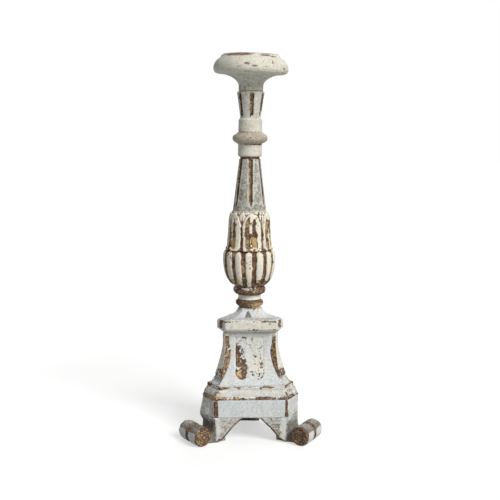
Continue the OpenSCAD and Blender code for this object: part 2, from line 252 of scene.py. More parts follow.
# %% [markdown]
# ## The worn skin, as fields on the mesh
# Paint doesn't wear evenly. It goes first on arrises, then wherever a flake was loose, and
# it was never thick in some hollows. For each point one number, `worn`, adds these up: under
# zero there is paint and over zero there isn't. The same number raises the paint's film a
# quarter of a millimetre over the bare ground, so an edge of paint is a real step in the
# mesh and not only a change of colour. `gold` says where leaf survives, a darkening field
# where grime has settled and where shade is painted into hollows, recesses and undersides,
# and `warm` whether the paint there is creamier or greyer.

# %% Wear
def wear(piece, seed, arris=1.0, arris_at=0.55, hollow=0.0, bare=0.0, gold=0.0, grime_and_shade=0.0, warm=0.5,
         patch=0.5, fleck=0.5, film=0.28, uneven=0.3, edges_where=1.0, passes=14):
    """Ages a piece: wear on its arrises, flaking, grime and painted shade in its hollows and a film
    of paint.

    bare, gold, warm, edges_where and the darkening field for grime and painted shade are one
    number, or one for each point."""
    points, normals = read_points(piece), read_normals(piece)
    out = stand_out(piece, passes)
    edge = ramp(out, 0.12, arris_at) * edges_where
    deep = ramp(-out, 0.08, 0.5)
    tear = ragged(points, 5.5, seed)
    patches = blotches(points, 13, seed + 3)
    flecks = ramp(blotches(points, 2.1, seed + 9) + 0.35 * patches, 0.45, 0.85)
    worn = (-0.7 + arris * edge * (1 + 0.7 * patches) + hollow * deep + bare
            + patch * (0.75 * tear + 0.35 * patches) + fleck * flecks)
    paint = ramp(-worn, -0.05, 0.08)
    knocks = np.clip(edge, 0, 1) * np.clip(tear + 0.1, 0, 1)
    points += normals * (uneven * ragged(points, 16, seed + 5) + 0.08 * ragged(points, 3, seed + 7)
                         + film * (paint - 0.5) - 0.5 * knocks)[:, None]
    write_points(piece, points)
    keep_field(piece, "worn", worn)
    keep_field(piece, "gold", np.clip(gold + np.zeros(len(points)), 0, 1))
    # Hollows add darkening here, part grime and part painted shade in the creases.
    keep_field(piece, "grime_and_shade", np.clip(grime_and_shade + 0.6 * deep + 0.12 * patches, 0, 1))
    keep_field(piece, "warm", np.clip(warm + 0.25 * patches, 0, 1))
    return float(np.mean(worn > 0))


print("wear ready")


# %% [markdown]
# ## Shader groups
# Each layer of the real finish is its own node group, built once: where the paint has gone,
# the chalky paint, the bole with its gold, the grain of bare wood, and the bloom on old
# metal. A material places the groups it needs and keeps its own Principled shader.

# %% Node helpers
def new_group(name, inputs, outputs):
    """An empty shader group, with its input and output nodes."""
    group = bpy.data.node_groups.new(name, "ShaderNodeTree")
    kinds = {"float": "NodeSocketFloat", "colour": "NodeSocketColor", "vector": "NodeSocketVector"}
    for label, kind in inputs.items():
        group.interface.new_socket(label, in_out="INPUT", socket_type=kinds[kind])
    for label, kind in outputs.items():
        group.interface.new_socket(label, in_out="OUTPUT", socket_type=kinds[kind])
    return group, group.nodes.new("NodeGroupInput"), group.nodes.new("NodeGroupOutput")


def sums(tree, operation, a, b=0.5, clamp=False):
    """A math node's output."""
    return add_node(tree, "ShaderNodeMath", {0: a, 1: b}, operation=operation,
                    use_clamp=clamp).outputs[0]


def stretch(tree, value, low, high, to_low=0.0, to_high=1.0):
    """A soft step of a value between low and high."""
    return add_node(tree, "ShaderNodeMapRange",
                    {"Value": value, "From Min": low, "From Max": high,
                     "To Min": to_low, "To Max": to_high},
                    interpolation_type="SMOOTHSTEP").outputs["Result"]


def cloud(tree, place, scale, detail=4.0, rough=0.6):
    """A noise texture's value; scale is in blotches per metre."""
    return add_node(tree, "ShaderNodeTexNoise",
                    {"Vector": place, "Scale": scale, "Detail": detail,
                     "Roughness": rough}).outputs["Fac"]


def mix_colours(tree, factor, a, b, kind="MIX"):
    """Two colours mixed by a factor."""
    made = add_node(tree, "ShaderNodeMix", {0: factor, 6: a, 7: b}, data_type="RGBA",
                    blend_type=kind)
    return made.outputs[2]


def mix_values(tree, factor, a, b):
    """Two numbers mixed by a factor."""
    return add_node(tree, "ShaderNodeMix", {0: factor, 2: a, 3: b}, data_type="FLOAT").outputs[0]


def send(tree, end, **values):
    """Links values to a group's outputs."""
    for label, value in values.items():
        tree.links.new(value, end.inputs[label.replace("_", " ")])


print("node helpers ready")


# %% [markdown]
# ### Where the paint has gone
# The mesh says roughly where the paint stops. Up close a broken edge of paint is crumbled
# much finer than any mesh, so a noise pushes the border in and out before it is cut sharp.
# The thin rim just inside the border is kept too, because it is paler: clean paint shows
# where a flake has lifted.

# %% Group: paint edge
group, start, end = new_group(
    "paint_edge", {"Place": "vector", "Worn": "float", "Crumble": "float", "Scale": "float"},
    {"Bare": "float", "Rim": "float"})
fine = cloud(group, start.outputs["Place"], start.outputs["Scale"], 5, 0.7)
push = sums(group, "MULTIPLY", sums(group, "SUBTRACT", fine, 0.5), start.outputs["Crumble"])
border = sums(group, "ADD", start.outputs["Worn"], push)
bare_mask = stretch(group, border, -0.03, 0.03)
rim_mask = sums(group, "MULTIPLY", stretch(group, border, -0.2, -0.04),
                sums(group, "SUBTRACT", 1.0, bare_mask))
send(group, end, Bare=bare_mask, Rim=rim_mask)
paint_edge = group
print("group", group.name, "with", len(group.nodes), "nodes")

# %% [markdown]
# ### Chalky paint
# The off-white is not one colour. It is creamier where it is thick and greyer where it has
# been rubbed, it is mottled by the brush, fine cracks run through it, brown specks have
# bled up from the bole, and the low places are darkened, part grime and part painted shade.
# The height that goes with it is the brush marks and the cracks.

# %% Group: chalky paint
group, start, end = new_group(
    "chalky_paint",
    {"Place": "vector", "Warm": "float", "Dirt": "float", "Cream": "colour", "Grey": "colour",
     "Soil": "colour", "Mottle": "float", "Specks": "float", "Cracks": "float"},
    {"Colour": "colour", "Roughness": "float", "Height": "float"})
place = start.outputs["Place"]
tone = sums(group, "ADD", start.outputs["Warm"],
            sums(group, "MULTIPLY", sums(group, "SUBTRACT", cloud(group, place, 70), 0.5), 1.5),
            clamp=True)
skin = mix_colours(group, tone, start.outputs["Grey"], start.outputs["Cream"])
strokes = cloud(group, place, 330, 6, 0.75)
skin = mix_colours(group, sums(group, "MULTIPLY", stretch(group, strokes, 0.62, 0.40),
                               start.outputs["Mottle"]),
                   skin, start.outputs["Soil"])
grime = sums(group, "ADD", cloud(group, place, 170, 6, 0.78), cloud(group, place, 400, 4, 0.7))
grime = sums(group, "MULTIPLY", sums(group, "SUBTRACT", grime, 1.0), 1.7)
# The per-point darkening field and the grime noise pull the paint towards the soil colour: grime,
# and painted shade in hollows, recesses and undersides.
soiling_and_shade = stretch(group, sums(group, "ADD", start.outputs["Dirt"], grime), 0.2, 0.9)
skin = mix_colours(group, soiling_and_shade, skin, start.outputs["Soil"])
bent = add_node(group, "ShaderNodeTexNoise", {"Vector": place, "Scale": 160.0, "Detail": 2.0})
warped = add_node(group, "ShaderNodeMix", {0: 0.02, 4: place, 5: bent.outputs["Color"]},
                  data_type="VECTOR").outputs[1]
cells = add_node(group, "ShaderNodeTexVoronoi", {"Vector": warped, "Scale": 210.0},
                 feature="DISTANCE_TO_EDGE").outputs["Distance"]
cracks = sums(group, "MULTIPLY", stretch(group, cells, 0.045, 0.01), start.outputs["Cracks"])
patchy = stretch(group, cloud(group, place, 60, 2), 0.42, 0.62)
cracks = sums(group, "MULTIPLY", cracks, patchy)
skin = mix_colours(group, cracks, skin, start.outputs["Soil"])
dots = add_node(group, "ShaderNodeTexNoise",
                {"Vector": place, "Scale": 480.0, "Detail": 3.0, "Roughness": 0.6}).outputs["Fac"]
speck = sums(group, "MULTIPLY", stretch(group, dots, 0.60, 0.67), start.outputs["Specks"])
skin = mix_colours(group, speck, skin, (0.15, 0.085, 0.05, 1))
height = sums(group, "SUBTRACT", sums(group, "MULTIPLY", strokes, 0.8),
              sums(group, "ADD", sums(group, "MULTIPLY", cracks, 0.5),
                   sums(group, "MULTIPLY", speck, 0.3)))
send(group, end, Colour=skin, Roughness=stretch(group, strokes, 0.3, 0.7, 0.62, 0.82),
     Height=height)
chalky_paint = group
print("group", group.name, "with", len(group.nodes), "nodes")

# %% [markdown]
# ### Bole and gold
# Bole is a red-brown clay laid under leaf. Rubbed, it goes darker and smoother, and where
# gesso shows through it is speckled with white. Gold leaf survives in broken patches, so
# its mask is a noise cut sharp, and only there does the metal value rise.

# %% Group: bole and gold
group, start, end = new_group(
    "bole_and_gold",
    {"Place": "vector", "Gold": "float", "Red": "colour", "Brown": "colour", "Rubbed": "colour",
     "Leaf": "colour", "Chalk": "float"},
    {"Colour": "colour", "Roughness": "float", "Metal": "float", "Height": "float"})
place = start.outputs["Place"]
broad = cloud(group, place, 130, 4)
grit = cloud(group, place, 560, 5, 0.7)
clay = mix_colours(group, stretch(group, broad, 0.38, 0.62), start.outputs["Brown"],
                   start.outputs["Red"])
rubbed = stretch(group, cloud(group, place, 240, 5, 0.7), 0.50, 0.62, 0.0, 0.8)
clay = mix_colours(group, rubbed, clay, start.outputs["Rubbed"])
clay = mix_colours(group, stretch(group, grit, 0.56, 0.38, 0.0, 0.85), clay,
                   (0.03, 0.015, 0.008, 1))
chalk = sums(group, "MULTIPLY", stretch(group, cloud(group, place, 430, 4, 0.65), 0.56, 0.62),
             start.outputs["Chalk"])
clay = mix_colours(group, chalk, clay, (0.55, 0.47, 0.38, 1))
torn = sums(group, "MULTIPLY", sums(group, "SUBTRACT", cloud(group, place, 260, 5, 0.7), 0.5), 2.2)
leaf_mask = stretch(group, sums(group, "ADD", start.outputs["Gold"], torn), 0.52, 0.62)
skin = mix_colours(group, leaf_mask, clay,
                   mix_colours(group, stretch(group, grit, 0.4, 0.6), start.outputs["Leaf"],
                               (0.60, 0.44, 0.23, 1)))
send(group, end, Colour=skin, Roughness=mix_values(group, leaf_mask, 0.62, 0.42),
     Metal=sums(group, "MULTIPLY", leaf_mask, 0.35),
     Height=sums(group, "ADD", sums(group, "MULTIPLY", grit, 0.7),
                 sums(group, "MULTIPLY", chalk, 0.4)))
bole_and_gold = group
print("group", group.name, "with", len(group.nodes), "nodes")

# %% [markdown]
# ### Grain of the wood
# Under everything is a soft pale wood gone brown with age. Its grain is a noise drawn out
# along the fibres, which run up the stem.

# %% Group: wood grain
group, start, end = new_group(
    "wood_grain", {"Place": "vector", "Light": "colour", "Dark": "colour"},
    {"Colour": "colour", "Height": "float"})
fibres = add_node(group, "ShaderNodeMapping",
                  {"Vector": start.outputs["Place"], "Scale": (1.0, 1.0, 0.06)})
streaks = cloud(group, fibres.outputs[0], 700, 6, 0.7)
bands = cloud(group, fibres.outputs[0], 120, 3)
skin = mix_colours(group, stretch(group, sums(group, "ADD", sums(group, "MULTIPLY", streaks, 0.6),
                                              sums(group, "MULTIPLY", bands, 0.4)), 0.38, 0.62),
                   start.outputs["Dark"], start.outputs["Light"])
send(group, end, Colour=skin, Height=streaks)
wood_grain = group
print("group", group.name, "with", len(group.nodes), "nodes")

# %% [markdown]
# ### Bloom on old metal
# The liner and the candle socket are sheet metal that has lost its shine. A cloudy bloom
# dulls it, and small rust stains follow the dirt.

# %% Group: metal bloom
group, start, end = new_group(
    "metal_bloom", {"Place": "vector", "Bright": "colour", "Dull": "colour", "Stain": "colour"},
    {"Colour": "colour", "Roughness": "float", "Height": "float"})
bloom = cloud(group, start.outputs["Place"], 150, 5, 0.65)
stains = stretch(group, cloud(group, start.outputs["Place"], 90, 4, 0.6), 0.56, 0.66)
skin = mix_colours(group, stretch(group, bloom, 0.36, 0.6), start.outputs["Bright"],
                   start.outputs["Dull"])
skin = mix_colours(group, stains, skin, start.outputs["Stain"])
send(group, end, Colour=skin, Roughness=stretch(group, bloom, 0.3, 0.7, 0.38, 0.72), Height=bloom)
metal_bloom = group
print("group", group.name, "with", len(group.nodes), "nodes")


# %% [markdown]
# ## Materials
# Every painted material is the same sandwich with other amounts: the base is a cool
# grey-white, the stem is creamier, the carved cup and bulb have richer gold, the two rings
# are nearly bare bole, the knop was left a plain tan, and under the pan's paint the ground
# is a paler tan than elsewhere.

# %% Painted finishes
def use_group(tree, group, **inputs):
    """Places a shader group in a material, with its inputs filled or linked."""
    made = tree.nodes.new("ShaderNodeGroup")
    made.node_tree = group
    for label, value in inputs.items():
        if isinstance(value, bpy.types.NodeSocket):
            tree.links.new(value, made.inputs[label])
        else:
            made.inputs[label].default_value = value
    return made


def field(tree, name):
    """A number stored on the mesh."""
    return add_node(tree, "ShaderNodeAttribute", attribute_name=name).outputs["Fac"]


CREAM = (0.82, 0.775, 0.645, 1)
GREY_WHITE = (0.70, 0.735, 0.74, 1)
# The soil colour serves brush mottle, cracks, grime and painted shade.
SOIL_AND_SHADE = (0.27, 0.235, 0.185, 1)
BOLE_RED = (0.14, 0.06, 0.03, 1)
BOLE_BROWN = (0.13, 0.075, 0.038, 1)
LEAF = (0.46, 0.29, 0.12, 1)
RUBBED_TAN = (0.36, 0.22, 0.11, 1)


def painted(name, cream=CREAM, grey=GREY_WHITE, soil_and_shade=SOIL_AND_SHADE, red=BOLE_RED, brown=BOLE_BROWN,
            mottle=0.35, specks=0.5, cracks=0.4, crumble=1.25, crumble_scale=330.0, chalk=0.6,
            bump=0.5):
    """A material of chalky paint over bole and gold, cut by the fields on the mesh."""
    made = bpy.data.materials.new(name)
    made.use_nodes = True
    tree = made.node_tree
    shader = tree.nodes["Principled BSDF"]
    place = add_node(tree, "ShaderNodeTexCoord").outputs["Object"]
    edge = use_group(tree, paint_edge, Place=place, Worn=field(tree, "worn"), Crumble=crumble,
                     Scale=crumble_scale)
    film = use_group(tree, chalky_paint, Place=place, Warm=field(tree, "warm"),
                     Dirt=field(tree, "grime_and_shade"), Cream=cream, Grey=grey, Soil=soil_and_shade, Mottle=mottle,
                     Specks=specks, Cracks=cracks)
    ground = use_group(tree, bole_and_gold, Place=place, Gold=field(tree, "gold"), Red=red,
                       Brown=brown, Rubbed=RUBBED_TAN, Leaf=LEAF, Chalk=chalk)
    bare = edge.outputs["Bare"]
    lit = mix_colours(tree, sums(tree, "MULTIPLY", edge.outputs["Rim"], 0.35),
                      film.outputs["Colour"], (0.86, 0.85, 0.80, 1))
    tree.links.new(mix_colours(tree, bare, lit, ground.outputs["Colour"]),
                   shader.inputs["Base Color"])
    tree.links.new(mix_values(tree, bare, film.outputs["Roughness"], ground.outputs["Roughness"]),
                   shader.inputs["Roughness"])
    tree.links.new(sums(tree, "MULTIPLY", bare, ground.outputs["Metal"]), shader.inputs["Metallic"])
    raised = sums(tree, "ADD", film.outputs["Height"], 1.2)
    height = mix_values(tree, bare, raised, ground.outputs["Height"])
    relief = add_node(tree, "ShaderNodeBump", {"Strength": bump, "Distance": 0.0004,
                                               "Height": height})
    tree.links.new(relief.outputs[0], shader.inputs["Normal"])
    shader.inputs["Specular IOR Level"].default_value = 0.35
    return made


base_paint = painted("base_paint", soil_and_shade=(0.17, 0.155, 0.13, 1), mottle=0.22, specks=0.35)
stem_paint = painted("stem_paint", soil_and_shade=(0.19, 0.18, 0.135, 1), mottle=0.3,
                     grey=(0.64, 0.65, 0.61, 1))
carved_paint = painted("carved_paint", cream=(0.88, 0.82, 0.67, 1), grey=(0.72, 0.72, 0.68, 1),
                       mottle=0.15, cracks=0.3, chalk=0.35)
ring_bole = painted("ring_bole", mottle=0.5, chalk=0.7)
knop_paint = painted("knop_paint", cream=(0.60, 0.52, 0.40, 1), grey=(0.54, 0.49, 0.41, 1),
                     mottle=0.6, specks=0.7)
pan_paint = painted("pan_paint", red=(0.33, 0.20, 0.13, 1), brown=(0.38, 0.27, 0.18, 1),
                    grey=(0.66, 0.69, 0.60, 1), mottle=0.25, specks=0.4)
print("painted finishes:", [m.name for m in bpy.data.materials if "worn" not in m.name])


# %% Wood and metal finishes
def grained(name, light, dark):
    """Bare old wood."""
    made = bpy.data.materials.new(name)
    made.use_nodes = True
    tree = made.node_tree
    shader = tree.nodes["Principled BSDF"]
    place = add_node(tree, "ShaderNodeTexCoord").outputs["Object"]
    grain = use_group(tree, wood_grain, Place=place, Light=light, Dark=dark)
    tree.links.new(grain.outputs["Colour"], shader.inputs["Base Color"])
    relief = add_node(tree, "ShaderNodeBump", {"Strength": 0.4, "Distance": 0.0003,
                                               "Height": grain.outputs["Height"]})
    tree.links.new(relief.outputs[0], shader.inputs["Normal"])
    shader.inputs["Roughness"].default_value = 0.75
    return made


def dulled(name, bright, dull, stain, metallic):
    """Old sheet metal or iron."""
    made = bpy.data.materials.new(name)
    made.use_nodes = True
    tree = made.node_tree
    shader = tree.nodes["Principled BSDF"]
    place = add_node(tree, "ShaderNodeTexCoord").outputs["Object"]
    bloom = use_group(tree, metal_bloom, Place=place, Bright=bright, Dull=dull, Stain=stain)
    tree.links.new(bloom.outputs["Colour"], shader.inputs["Base Color"])
    tree.links.new(bloom.outputs["Roughness"], shader.inputs["Roughness"])
    relief = add_node(tree, "ShaderNodeBump", {"Strength": 0.25, "Distance": 0.0003,
                                               "Height": bloom.outputs["Height"]})
    tree.links.new(relief.outputs[0], shader.inputs["Normal"])
    shader.inputs["Metallic"].default_value = metallic
    return made


raw_wood = grained("raw_wood", (0.34, 0.22, 0.13, 1), (0.14, 0.08, 0.045, 1))
old_tin = dulled("old_tin", (0.40, 0.42, 0.41, 1), (0.24, 0.26, 0.25, 1), (0.20, 0.12, 0.07, 1),
                 0.85)
black_iron = dulled("black_iron", (0.05, 0.045, 0.04, 1), (0.03, 0.028, 0.026, 1),
                    (0.10, 0.05, 0.03, 1), 0.6)
print("plain finishes:", raw_wood.name, old_tin.name, black_iron.name)


# %% [markdown]
# ## Turning
# The stem is a stack of turned pieces. Each starts as an outline of radius and height,
# spun into a close grid of points, which gouges then cut into. Angles are measured from
# the middle of the front, towards the right. A solid piece closes on the axis; a sheet
# ring closes on itself.

# %% Lathe
def arc(radius, height, a, b, start_deg, end_deg, count=12):
    """Points (height, radius) along an arc about a centre, with half axes a and b."""
    turn = np.radians(np.linspace(start_deg, end_deg, count + 1))
    return [(height + b * math.sin(t), radius + a * math.cos(t)) for t in turn]


def even_outline(outline, step, soften):
    """An outline walked in even steps, with its corners eased over a distance in mm."""
    line = np.array(outline, float)
    keep = np.r_[True, np.hypot(*np.diff(line, axis=0).T) > 1e-6]
    line = line[keep]
    walked = np.r_[0, np.cumsum(np.hypot(*np.diff(line, axis=0).T))]
    along = np.linspace(0, walked[-1], int(walked[-1] / step) + 2)
    line = np.stack([np.interp(along, walked, line[:, 0]), np.interp(along, walked, line[:, 1])], 1)
    for _ in range(max(0, round((soften / step) ** 2))):
        line[1:-1] = 0.5 * line[1:-1] + 0.25 * (line[:-2] + line[2:])
    return line[:, 0], np.maximum(line[:, 1], 0.02)


def turn_piece(name, outline, carve=None, around=320, step=0.6, soften=1.0, ring=False):
    """A turned piece from an outline of (height, radius) in mm, bottom to top.

    carve(angle, height, radius) returns the radius after the gouge."""
    if ring:
        outline = list(outline) + [outline[0]]
    height, radius = even_outline(outline, step, soften)
    if ring:
        height, radius = height[:-1], radius[:-1]
    angle = np.linspace(0, 2 * np.pi, around, endpoint=False)
    T, Z = np.meshgrid(angle, height)
    R = np.repeat(radius[:, None], around, axis=1)
    if carve is not None:
        T2 = np.where(T > np.pi, T - 2 * np.pi, T)
        R = np.maximum(carve(T2, Z, R), 0.02)
    points = np.stack([R * np.sin(T), -R * np.cos(T), Z], axis=-1).reshape(-1, 3)
    rows = len(height)
    index = np.arange(rows * around).reshape(rows, around)
    beside = np.roll(index, -1, axis=1)
    over, over_beside = np.roll(index, -1, axis=0), np.roll(beside, -1, axis=0)
    last = rows if ring else rows - 1
    faces = np.stack([index, beside, over_beside, over], axis=-1)[:last].reshape(-1, 4).tolist()
    if not ring:
        faces.append(index[0, ::-1].tolist())
        faces.append(index[-1].tolist())
    return new_piece(name, points, faces)


def turning_angle(points):
    """The angle of each point round the stem, from the front towards the right."""
    return np.arctan2(points[:, 0], -points[:, 1])


def wrap(angle, centre, pitch):
    """Angle from the nearest of a row of evenly spaced centres."""
    return (angle - centre + pitch / 2) % pitch - pitch / 2


PAN_TILT = 0.022


def lean(piece):
    """Sets a stem piece a little off true: the bulb to the left, the pan dropped to the right."""
    points = read_points(piece)
    heights = (0, 120, 190, 240, 300, 390, 440, 500)
    shifts = (0, -0.3, -0.8, -1.2, -0.7, 0.1, 1.0, 1.3)
    points[:, 0] += np.interp(points[:, 2], heights, shifts)
    points[:, 2] -= PAN_TILT * points[:, 0] * ramp(points[:, 2], 451, 460)
    write_points(piece, points)


def spots(points, places):
    """1 on listed worn spots, each (degrees round, height, half width, half height)."""
    angle = np.degrees(turning_angle(points))
    radius = np.hypot(points[:, 0], points[:, 1])
    field_sum = np.zeros(len(points))
    for centre, height, wide, tall in places:
        side = np.radians((angle - centre + 180) % 360 - 180) * radius / wide
        rise = (points[:, 2] - height) / tall
        field_sum = np.maximum(field_sum, 1 - ramp(np.hypot(side, rise), 0.4, 1.5))
    return field_sum


def settle(piece, finish, slot, *nodes):
    """Gives a piece its material and its body, and hides the CAD nodes that it stands for; slot is
    not used.
    """
    piece.data.materials.clear()
    piece.data.materials.append(finish)
    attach(piece, "root")
    if nodes:
        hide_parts(*nodes)
    return piece


print("lathe ready")

# %% [markdown]
# ## Drip pan
# The pan is one turning: a plain neck, a hollow bell, and a rim that is bevelled up to a
# flat top, where the metal liner lies. Its top edge has lost its paint in a long streak at
# the left, and flakes are missing along the ridge. The wood has shrunk across its grain,
# so the rim is slightly oval, and the whole pan has settled a little towards the right.

# %% Drip pan
FRONT = math.radians(3)
pan_outline = ([(451, 0), (451, 15.2), (452.5, 15.7), (457.5, 15.6)]
               + arc(44, 457.5, 28.4, 16, 180, 92)
               + [(474.2, 46.2)] + arc(32.5, 479.5, 15.8, 15.2, -6, 64, 10)
               + [(495.6, 38.0), (497, 36.9), (497, 12.9), (470, 12.9), (470, 0)])


def pan_shape(angle, height, radius):
    oval = 0.35 * np.cos(2 * angle + 0.6) + 0.2 * np.cos(3 * angle)
    return radius + oval * ramp(radius, 20, 46)


pan = turn_piece("drip_pan_turned", pan_outline, pan_shape, around=340, step=0.75, soften=0.9)
points = read_points(pan)
flakes = spots(points,
               [(-34, 495, 18, 1.6), (-12, 495.4, 8, 1.2), (-7, 484, 5, 1.6), (4, 481, 6, 1.2),
                        (17, 486.5, 1.6, 2.2), (34, 485.5, 1.5, 3.2), (60, 479.5, 1.4, 1.4),
                        (-20, 480, 4, 1.0), (26, 495, 9, 1.1), (46, 494, 6, 1.1),
                        (21, 480.5, 5, 1.0),
                        (150, 494, 14, 2), (205, 482, 7, 2), (250, 495, 10, 1.5), (110, 487, 3, 3)])
# The underside gets more darkening and greyer paint, and the left side greyer paint: painted shade
# on the sides turned from the light.
under = ramp(475 - points[:, 2], 0, 4)
streak = ramp(points[:, 2], 494, 495.2) * spots(points, [(-22, 495.6, 15, 3)])
share = wear(pan, 21, arris=0.75, arris_at=0.5, bare=1.05 * flakes + 0.9 * streak,
             grime_and_shade=0.1 + 0.28 * under,
             warm=0.8 - 0.5 * under - 0.35 * ramp(-points[:, 0], 10, 40),
             patch=0.55, fleck=0.55, uneven=0.22)
lean(pan)
settle(pan, pan_paint, "stem_paint", "drip_pan")
print("drip pan bare over", round(100 * share), "%")

# %% [markdown]
# ## Liner, socket and tacks
# A disc of tinned sheet lines the pan, held by four tacks, and a short sheet tube takes
# the candle. Sheet metal is turned as a ring whose outline goes up one side and down the
# other; the liner's edge is rolled, and it has gone wavy with use.

# %% Metal fittings
liner = turn_piece("pan_liner_sheet",
                   [(497.05, 12.75), (497.05, 35.2)] + arc(35.5, 497.4, 0.4, 0.4, -90, 90, 6)
                   + [(497.75, 35.1), (497.7, 12.75)],
                   around=240, step=0.45, soften=0.25, ring=True)
points = read_points(liner)
points[:, 2] += 0.12 * blotches(points, 18, 5) * ramp(points[:, 2], 497.3, 497.6)
write_points(liner, points)
lean(liner)
settle(liner, old_tin, "old_tin", "pan_liner")

socket = turn_piece("candle_socket_tube",
                    [(470.2, 0), (470.2, 12.6), (497.8, 12.6), (497.8, 17.0), (498.1, 17.25),
                     (498.5, 17.1), (498.55, 11.6), (498.2, 11.3), (471.3, 11.25), (471.2, 0)],
                    around=180, step=0.5, soften=0.3)
lean(socket)
settle(socket, old_tin, "old_tin", "candle_socket")

tack_points, tack_faces = [], []
for turn in (45, 135, 225, 315):
    head = [(497.6, 0), (497.6, 2.0), (497.95, 1.95), (498.25, 1.3), (498.4, 0.4), (498.4, 0)]
    height, radius = even_outline(head, 0.25, 0.2)
    around = 28
    spin = np.linspace(0, 2 * np.pi, around, endpoint=False)
    centre = 27 * np.array([math.cos(math.radians(turn)), math.sin(math.radians(turn))])
    first = len(tack_points)
    for z, r in zip(height, radius):
        wobble = r * (1 + 0.06 * np.cos(3 * spin + turn))
        tack_points += [(centre[0] + w * math.cos(s), centre[1] + w * math.sin(s), z)
                        for w, s in zip(wobble, spin)]
    for row in range(len(height) - 1):
        for k in range(around):
            a, b = first + row * around + k, first + row * around + (k + 1) % around
            tack_faces.append((a, b, b + around, a + around))
tacks = new_piece("liner_tack_heads", np.array(tack_points), tack_faces)
lean(tacks)
settle(tacks, black_iron, "black_iron", "liner_tacks")
print("fittings:", liner.name, socket.name, tacks.name)

# %% [markdown]
# ## Fluted stems
# Both tapering stems have six flutes. A flute is cut with a narrow gouge: steep sides, a
# round bottom, a hard stop at the wide end and a run-out to nothing at the other. Gold is
# laid on the wall that faces right, the lit wall, most of all in the front flutes, as a
# painted highlight on the gilt, and the floor is dark bole. The ribs between are
# rubbed grey, with cleaner, whiter edges.

# %% Flutes
FLUTE_PITCH = 2 * np.pi / 6


def cut_flutes(angle, height, radius, low, high, half_low, half_high, deep_low, deep_high,
               run_out, stop):
    """The radius after six flutes are cut between two heights."""
    t = np.clip((height - low) / (high - low), 0, 1)
    wander = 0.25 * np.sin(height / 9.0 + 3 * np.round((angle - FRONT) / FLUTE_PITCH))
    side = wrap(angle, FRONT, FLUTE_PITCH) * radius + wander
    half = (half_low + (half_high - half_low) * t) * ramp(height, low, low + run_out) ** 0.6
    deep = (deep_low + (deep_high - deep_low) * t) * ramp(height, low - 0.5, low + run_out)
    inside = np.clip(1 - np.abs(side) / np.maximum(half, 0.05), 0, 1)
    walls = 1 - (1 - inside) ** 2.6
    return radius - deep * walls * ramp(high - height, 0, stop)


def flute_fields(points, half, low, high):
    """For each point: how much it lies in a flute, how much on the lit wall that faces right, where
    gold goes as a painted highlight, and how much on a rib's edge.
    """
    radius = np.hypot(points[:, 0], points[:, 1])
    side = wrap(turning_angle(points), FRONT, FLUTE_PITCH) * radius
    between = ramp(points[:, 2], low - 1, low + 3) * ramp(high + 1 - points[:, 2], 0, 1.5)
    inside = (1 - ramp(np.abs(side), half - 1.3, half + 0.9)) * between
    # The front flutes and the wall that faces right, the lit wall, get more gold: a painted
    # highlight laid on the gilt.
    front_highlight = 0.45 + 0.55 * ramp(np.cos(turning_angle(points) - FRONT), 0.6, 0.9)
    gold_and_highlight_wall = inside * ramp(-side, 0.2, 1.2) * front_highlight * ramp(ragged(points, 4, 33), -0.5, 0.2)
    rib_edge = (1 - ramp(np.abs(np.abs(side) - half - 1.1), 0.3, 1.1)) * between
    rib_edge = rib_edge * ramp(ragged(points, 5, 35), -0.6, 0.1)
    return inside, gold_and_highlight_wall, rib_edge


main_outline = ([(298.5, 0), (298.5, 21.6), (300.5, 21.4), (362.5, 13.9), (364.9, 14.0),
                 (365.4, 12.6), (367.9, 12.6), (368.2, 13.6)] + arc(13.5, 370.4, 1.9, 2.2, 285, 360,
                                                                    6)
                + [(376, 15.3), (381.5, 15.2), (384.5, 15.6), (384.5, 0)])
main_stem = turn_piece(
    "main_stem_fluted", main_outline,
    lambda a, h, r: cut_flutes(a, h, r, 302, 365.2, 2.2, 3.0, 1.6, 2.9, 9, 0.7),
    around=320, step=0.6, soften=0.55)
points = read_points(main_stem)
flute_half = np.interp(points[:, 2], (302, 311, 365), (0.8, 2.4, 3.1))
flute, gold_and_highlight_wall, rib_edge = flute_fields(points, flute_half, 303, 364.5)
recess = ramp(points[:, 2], 364.6, 365.4) * ramp(368.6 - points[:, 2], 0, 0.8)
plain = ramp(points[:, 2], 368, 370)
torn_top = ramp(points[:, 2], 381.6, 384) * (0.6 + 0.4 * np.sin(2 * turning_angle(points) + 0.6))
# Gold on the lit, right-facing flute walls is a painted highlight.
share = wear(main_stem, 31, arris=0.35, bare=1.25 * flute + 1.3 * recess + 0.9 * torn_top,
             gold=0.95 * gold_and_highlight_wall, grime_and_shade=(0.54 - 0.52 * rib_edge) * (1 - plain) + 0.1 * recess,
             warm=0.25 + 0.55 * plain + 0.2 * rib_edge, patch=0.6, fleck=0.55, uneven=0.2)
lean(main_stem)
settle(main_stem, stem_paint, "stem_paint", "main_stem")
print("main stem bare over", round(100 * share), "%")

upper_outline = ([(399, 0), (399, 14.8), (401, 15.2), (413.6, 15.0)]
                 + arc(13.3, 414.4, 1.8, 2.0, 10, 80, 5)
                 + [(417.6, 13.1), (420.5, 13.2), (448, 17.3), (450.4, 17.4), (451, 16.4),
                    (451, 0)])
upper_stem = turn_piece(
    "upper_stem_fluted", upper_outline,
    lambda a, h, r: cut_flutes(a, h, r, 418.5, 450.2, 2.5, 3.0, 2.0, 2.8, 3, 1.2),
    around=320, step=0.5, soften=0.5)
points = read_points(upper_stem)
flute_half = np.interp(points[:, 2], (419, 450), (2.6, 3.1))
flute, gold_and_highlight_wall, rib_edge = flute_fields(points, flute_half, 419, 448)
plain = ramp(418 - points[:, 2], 0, 2)
blush = ramp(408 - points[:, 2], 0, 8)
